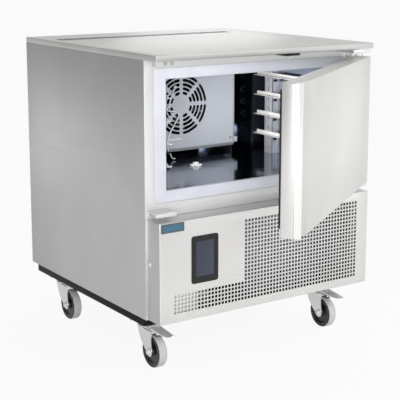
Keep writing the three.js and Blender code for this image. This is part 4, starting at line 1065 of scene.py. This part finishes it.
def drain_plug():
    """Plug with a crossed hand grip and a domed knob, set across the view of the front."""
    low, high = corners("drain_plug")
    x, y, z = (low.x + high.x) / 2, (low.y + high.y) / 2, low.z + PLUG_STEM
    place = Matrix.Translation((x * MM, y * MM, z * MM)) @ Matrix.Rotation(PLUG_TURN, 4, "Z")
    form = bmesh.new()
    block(form, (-PLUG_ARM, -5, 1.5), (PLUG_ARM, 5, 5.5), 1.5, 3)
    block(form, (-5, -PLUG_ARM, 1.5), (5, PLUG_ARM, 5.5), 1.5, 3)
    revolve(form, [(0, -PLUG_STEM), (13.7, -PLUG_STEM), (13.7, 1.8), (0, 1.8)], UPWARDS, 32)
    revolve(form, [(0, 1.5), (8, 1.5), (9.5, 6), (10, 9.5), (8.5, 12), (4, 13), (0, 13)], UPWARDS, 32)
    restyled(form, "drain_plug", "moulding", "lead_white", place=place)


def chamber():
    evaporator_cover()
    fan("evaporator_fan", 6, 28, 24)
    fan("condenser_fan", 5, 32, 28)
    tray_rack(1, "right")
    tray_rack(-1, "left")
    core_probe()
    drain_plug()


# ---------------------------- door

DOOR_ANGLE = math.radians(35)
DOOR_LEFT = -768
DOOR_RIGHT = 18
DOOR_BACK = 32
SEAL_INSET = 17
SEAL_WIDTH = 20


def door():
    refined("door_skin", 1.5, segments=3)
    refined("door_liner", 1.0)
    refined("door_grip", 0.5, "grip_steel")
    door_gasket()


def door_gasket():
    """Magnetic seal: a rounded tube with a fin, mitred round the door's back."""
    hinge = joint_place("door_hinge") * MM
    place = Matrix.Translation((hinge.x, hinge.y, 0)) @ Matrix.Rotation(DOOR_ANGLE, 4, "Z")
    low = corners("door_skin")[0].z
    high = door_top()
    y0 = DOOR_BACK + 2 * FIT + SHEET
    half = [(0, y0), (0, y0 + 2), (3, y0 + 3.5)] + arc(5.5, y0 + 8.3, 2.6, 180, 90, 4)
    section = half + [(SEAL_WIDTH - u, v) for u, v in half[::-1]]
    form = bmesh.new()
    rings = []
    for sx, sz in ((0, 0), (1, 0), (1, 1), (0, 1)):
        ring = []
        for inward, y in section:
            x = DOOR_LEFT + SEAL_INSET + inward if sx == 0 else DOOR_RIGHT - SEAL_INSET - inward
            z = low + SEAL_INSET + inward if sz == 0 else high - SEAL_INSET - inward
            ring.append(form.verts.new((x, y, z)))
        rings.append(ring)
    for i in range(4):
        here, after = rings[i], rings[(i + 1) % 4]
        for k in range(len(section)):
            m = (k + 1) % len(section)
            form.faces.new((here[k], here[m], after[m], after[k]))
    restyled(form, "door_gasket", "seal", place=place)


# ---------------------------- castors

WHEEL_RADIUS = 50
WHEEL_HALF = 14
WHEEL_SIDES = 96
TYRE = 4
TRAIL = 42
PLATE_TOP = 141.7
PLATE_X = 42.5
PLATE_Y = 52.5
CROWN_TOP = 127
AXLE = (0, -TRAIL, WHEEL_RADIUS)
PLATE_BOLTS = ((-32, -41), (-32, 41), (32, -41), (32, 41))
FORK_HALF = 20
FORK_SHEET = 3
PEDAL_Y = -41
PEDAL_Z = 124
TOE = -113
PEDAL_HALF = 17
PEDAL_STEPS = 16


def castor_plate(suffix, place):
    """Top plate with the swivel's race under it, and a washer, nut and bolt end at each corner."""
    form = bmesh.new()
    slab(form, rounded(-PLATE_X, PLATE_X, -PLATE_Y, PLATE_Y, 9, 6), place_xy, PLATE_TOP - 3,
         PLATE_TOP, 0.7)
    revolve(form, [(0, 140), (29, 140), (30, 138), (30, 133.5), (28.5, 132), (24, 131), (24, 128),
                   (0, 128)], UPWARDS, 56)
    for x, y in PLATE_BOLTS:
        rod(form, "z", (x, y, 0), 8.5, PLATE_TOP - 4.6, PLATE_TOP - 2.5, 0.3, 28)
        rod(form, "z", (x, y, 0), 6.5, PLATE_TOP - 10, PLATE_TOP - 4, 0.5, 6)
        rod(form, "z", (x, y, 0), 4, PLATE_TOP - 13, PLATE_TOP - 9, 0.6, 20)
    restyled(form, f"castor_plate_{suffix}", "pressing", place=place)


def castor_fork(suffix, place):
    """Two curved cheeks, the crown that joins them and the lower race."""
    front = curve((-52, 119), (-52, 84), (-57, 52), 8)
    hub = arc(-TRAIL, WHEEL_RADIUS, 15, 172, 350, 14)
    rear = curve((-27, 47), (14, 74), (24, 119), 10)
    outline = front + hub + rear
    form = bmesh.new()
    inner = FORK_HALF - FORK_SHEET
    for x0, x1 in ((-FORK_HALF, -inner), (inner, FORK_HALF)):
        slab(form, outline, place_yz, x0, x1, 0.9, 3)
    x, z = FORK_HALF - 6, CROWN_TOP - 6
    crown = ([(-FORK_HALF, 116)] + arc(-x, z, 6, 180, 90, 5) + arc(x, z, 6, 90, 0, 5)
             + [(FORK_HALF, 116), (inner, 116)] + arc(x, z, 3, 0, 90, 4) + arc(-x, z, 3, 90, 180, 4)
             + [(-inner, 116)])
    slab(form, crown, place_xz, -50, 24, 0.6)
    revolve(form, [(0, 119), (26, 119), (30, 121), (30.5, 124), (29, CROWN_TOP), (0, CROWN_TOP)],
            UPWARDS, 56)
    restyled(form, f"castor_fork_{suffix}", "pressing", place=place)


def castor_axle(suffix, place):
    """Bolt with a washer and a domed cap on each side."""
    form = bmesh.new()
    out = FORK_HALF + FIT
    axis = about("x", AXLE)
    rod(form, "x", AXLE, 5, -out - 6, out + 6, 0.5, 24)
    for side in (-1, 1):
        washer = [(0, out), (10.5, out), (10.5, out + 1.4), (0, out + 1.4)]
        cap = [(0, out + 1), (9, out + 1), (9, out + 4.5), (7.2, out + 7), (4, out + 8.4),
               (0, out + 8.8)]
        for profile in (washer, cap):
            revolve(form, [(r, side * h) for r, h in profile], axis, 32)
    # The axle takes the pale zinc, which is painted light.
    restyled(form, f"castor_axle_{suffix}", "bolt", "pedal_zinc", place=place)


def mirrored(profile):
    """A closed profile from one side's points of (radius, height) and their mirror image."""
    return profile + [(r, -h) for r, h in profile[::-1]] + [profile[0]]


def wheel(suffix, place):
    """Ribbed core and a tread with round shoulders."""
    axis = about("x", AXLE)
    rim = WHEEL_RADIUS - TYRE
    half = WHEEL_HALF
    side = [(5.3, half + 1.5), (12, half + 1.5), (13.5, half), (14.5, half - 4), (17, half - 5),
            (30, half - 5.5), (33, half - 4.5), (36, half - 0.8), (38, half), (40.5, half),
            (41, half - 0.8), (43, half - 0.8), (43.5, half), (rim + 1.6, half),
            (rim + 2.4, half - 0.8), (rim, half - 1.6)]
    form = bmesh.new()
    revolve(form, mirrored(side), axis, WHEEL_SIDES)
    restyled(form, f"wheel_core_{suffix}", "moulding", place=place)
    shoulder = 3
    edge = half - 0.9
    bead = ([(rim + 0.2, edge)] + [(WHEEL_RADIUS - shoulder + v, u) for u, v in
                                   arc(edge - shoulder, 0, shoulder, 0, 90, 6)])
    form = bmesh.new()
    revolve(form, mirrored(bead), axis, WHEEL_SIDES)
    restyled(form, f"wheel_tyre_{suffix}", "tread", place=place)


def brake_pedal(suffix, place):
    """Lever that narrows to an upturned toe, over a slotted plate and a black pad."""
    node = f"brake_pedal_{suffix}"
    body = f"brake_{suffix}"
    shares = [i / PEDAL_STEPS for i in range(PEDAL_STEPS)]

    def half_width(share):
        return PEDAL_HALF if share < 0.5 else PEDAL_HALF - 9 * ((share - 0.5) / 0.5) ** 1.3

    def height(share):
        dip = 8 * math.sin(math.pi * min(share / 0.9, 1) / 2)
        return 3.5 - dip + 13 * max(0, share - 0.72) ** 1.5 * 6

    def lever(u, v):
        skirt = abs(u) > 1
        across = math.copysign(1, u) if skirt else u
        drop = 7 * (1 - v) if skirt else 0.0
        return (across * half_width(v), PEDAL_Y + TOE * v, PEDAL_Z + height(v) - drop)

    form = bmesh.new()
    grid_sheet(form, (-2, -1, -0.6, 0.6, 1, 2), shares, lever)
    tip = shares[-1]
    turns = [math.radians(a) for a in (0, 30, 60, 85)]
    rows = [tip + (1 - tip) * math.sin(a) for a in turns]
    ease = [math.cos(a) for a in turns]
    for k in range(len(rows) - 1):
        quad = [(s * ease[m] * half_width(tip), PEDAL_Y + TOE * rows[m], PEDAL_Z + height(rows[m]))
                for m, s in ((k, -1), (k, 1), (k + 1, 1), (k + 1, -1))]
        form.faces.new([form.verts.new(corner) for corner in quad])
    # The lever takes the pale zinc, which is painted light.
    restyled(form, node, "lever", "pedal_zinc", place=place, fold=1.2, sheet=2.2)

    plate = bmesh.new()
    y = PEDAL_Y - 36
    top = PEDAL_Z - 3
    bottom = PEDAL_Z - 13
    slots = [rounded(x - 4.2, x + 4.2, bottom + 2.2, bottom + 7.2, 2, 3) for x in (-7, 7)]
    holed_plate(plate, [rounded(-15, 15, bottom, top, 2, 4)] + slots, place_xz, y, y + 2)
    rod(plate, "x", (0, PEDAL_Y, PEDAL_Z), 5.5, -PEDAL_HALF + 1, PEDAL_HALF - 1, 0.6)
    block(plate, (-14, y + 1, top - 3), (14, PEDAL_Y, top - 1), 0.4)
    # The plate takes the pale zinc, which is painted light.
    made(plate, f"{node}_plate", "zinc", "pedal_zinc", body, place=place)

    pad = bmesh.new()
    foot = bottom - 5
    arch = [(u, foot + (v - foot) * 0.5) for u, v in arc(0, foot, 7, 180, 0, 8)]
    arch = [(-14, bottom + 1), (-14, foot)] + arch + [(14, foot), (14, bottom + 1)]
    slab(pad, arch, place_xz, y + 0.5, y + 16, 0.8)
    block(pad, (-13, y + 2.2, bottom + 1), (13, y + 6, top - 3), 0.4)
    made(pad, f"{node}_pad", "black_plastic", body=body, place=place)


def castors():
    for end in ("front", "rear"):
        for side in ("left", "right"):
            suffix = f"{end}_{side}"
            at = joint_place(f"swivel_{suffix}") * MM
            place = Matrix.Translation((at.x, at.y, 0))
            for make in (castor_plate, castor_fork, castor_axle, wheel):
                make(suffix, place)
            if end == "front":
                brake_pedal(suffix, place)


# ---------------------------- stage and light

STAGE_WHITE = {"Is Camera Ray": 0.92, "Is Glossy Ray": 0.8}


def stage_material():
    """Pale floor that is white to the camera and to reflections, and still takes a shadow."""
    material = bpy.data.materials.new("stage")
    material.use_nodes = True
    tree = material.node_tree
    tree.nodes.clear()
    output = add_node(tree, "OutputMaterial")
    diffuse = add_node(tree, "BsdfDiffuse", Color=(0.86, 0.86, 0.86, 1))
    glow = add_node(tree, "Emission", Color=(1, 1, 1, 1))
    path = add_node(tree, "LightPath")
    mix = add_node(tree, "MixShader")
    most = add_node(tree, "Math")
    most.operation = "MAXIMUM"
    for socket, (ray, white) in enumerate(STAGE_WHITE.items()):
        share = add_node(tree, "Math")
        share.operation = "MULTIPLY"
        share.inputs[1].default_value = white
        link(path.outputs[ray], share, 0)
        link(share.outputs[0], most, socket)
    link(most.outputs[0], mix, "Fac")
    link(diffuse.outputs[0], mix, 1)
    link(glow.outputs[0], mix, 2)
    link(mix.outputs[0], output, "Surface")
    return material


STAGE_REACH = 40


def add_stage():
    mesh = bpy.data.meshes.new("floor")
    turns = ((-1, -1), (1, -1), (1, 1), (-1, 1))
    mesh.from_pydata([(STAGE_REACH * x, STAGE_REACH * y, 0) for x, y in turns], [], [(0, 1, 2, 3)])
    mesh.materials.append(stage_material())
    floor = add_object("floor", mesh)


WORLD = {"From_Min": -0.9, "From_Max": 0.95, "To_Min": 0.16, "To_Max": 0.84}


def add_world():
    """Soft surroundings that are dimmer on the left, and white where the camera looks past."""
    world = bpy.data.worlds.new("studio")
    world.use_nodes = True
    bpy.context.scene.world = world
    tree = world.node_tree
    tree.nodes.clear()
    output = add_node(tree, "OutputWorld")
    background = add_node(tree, "Background", Color=(1, 1, 1, 1))
    place = add_node(tree, "TexCoord")
    split = add_node(tree, "SeparateXYZ")
    span = add_node(tree, "MapRange", **WORLD)
    path = add_node(tree, "LightPath")
    seen = add_node(tree, "Mix", B=1)
    link(place.outputs["Generated"], split, "Vector")
    link(split.outputs["X"], span, "Value")
    link(path.outputs["Is Camera Ray"], seen, "Factor")
    link(span.outputs["Result"], seen, "A")
    link(seen.outputs["Result"], background, "Strength")
    link(background.outputs["Background"], output, "Surface")


# Lamps: name, place and target in metres, diameter in metres, watts.
LAMPS = (
    ("key", (1.6, -4.2, 3.2), (0, 0, 0.6), 2.6, 25),
    ("front_left", (-2.4, -3.8, 1.0), (0, 0, 0.8), 2.6, 98),
    ("front_right", (2.2, -3.6, 1.1), (0, -0.4, 0.8), 2.8, 15),
    ("door_right", (2.6, 0.1, 0.35), (0.1, -0.6, 0.72), 1.2, 1.0),
    ("side", (-1.3, 2.4, 0.3), (-0.4, 0.3, 0.6), 1.0, 1.6),
    ("back", (2.3, 3.3, 1.75), (0, 0, 0.95), 1.2, 3.2),
)
# Panels that reflections don't show: as above with a height after the width, and a spread in degrees.
PANELS = (
    ("chamber", (0.16, -0.335, 0.67), (0.16, 0.2, 0.69), 0.3, 0.24, 0.45, 180),
    ("rack_bounce", (-0.3, -0.26, 0.72), (0.3, -0.16, 0.72), 0.2, 0.3, 1.0, 75),
)


def add_lamp(name, place, target, width, power):
    """A soft round lamp that the camera doesn't see."""
    data = bpy.data.lights.new(name, "AREA")
    data.shape = "DISK"
    data.size = width
    data.energy = power
    lamp = add_object(name, data)
    lamp.location = place
    direction = Vector(target) - Vector(place)
    lamp.rotation_euler = direction.to_track_quat("-Z", "Y").to_euler()
    lamp.visible_camera = False
    return lamp


def add_lights():
    add_world()
    for lamp in LAMPS:
        add_lamp(*lamp)
    for name, place, target, width, height, power, spread in PANELS:
        panel = add_lamp(name, place, target, width, power)
        panel.data.shape = "RECTANGLE"
        panel.data.size_y = height
        panel.data.spread = math.radians(spread)
        panel.visible_glossy = False


# ---------------------------- scene

add_camera()
dress_nodes()
cabinet_shell()
fascia()
control_panel()
badge()
hinge_brackets()
door_sensor()
chamber()
door()
castors()
add_stage()
add_lights()

bpy.context.scene.view_settings.view_transform = "Standard"
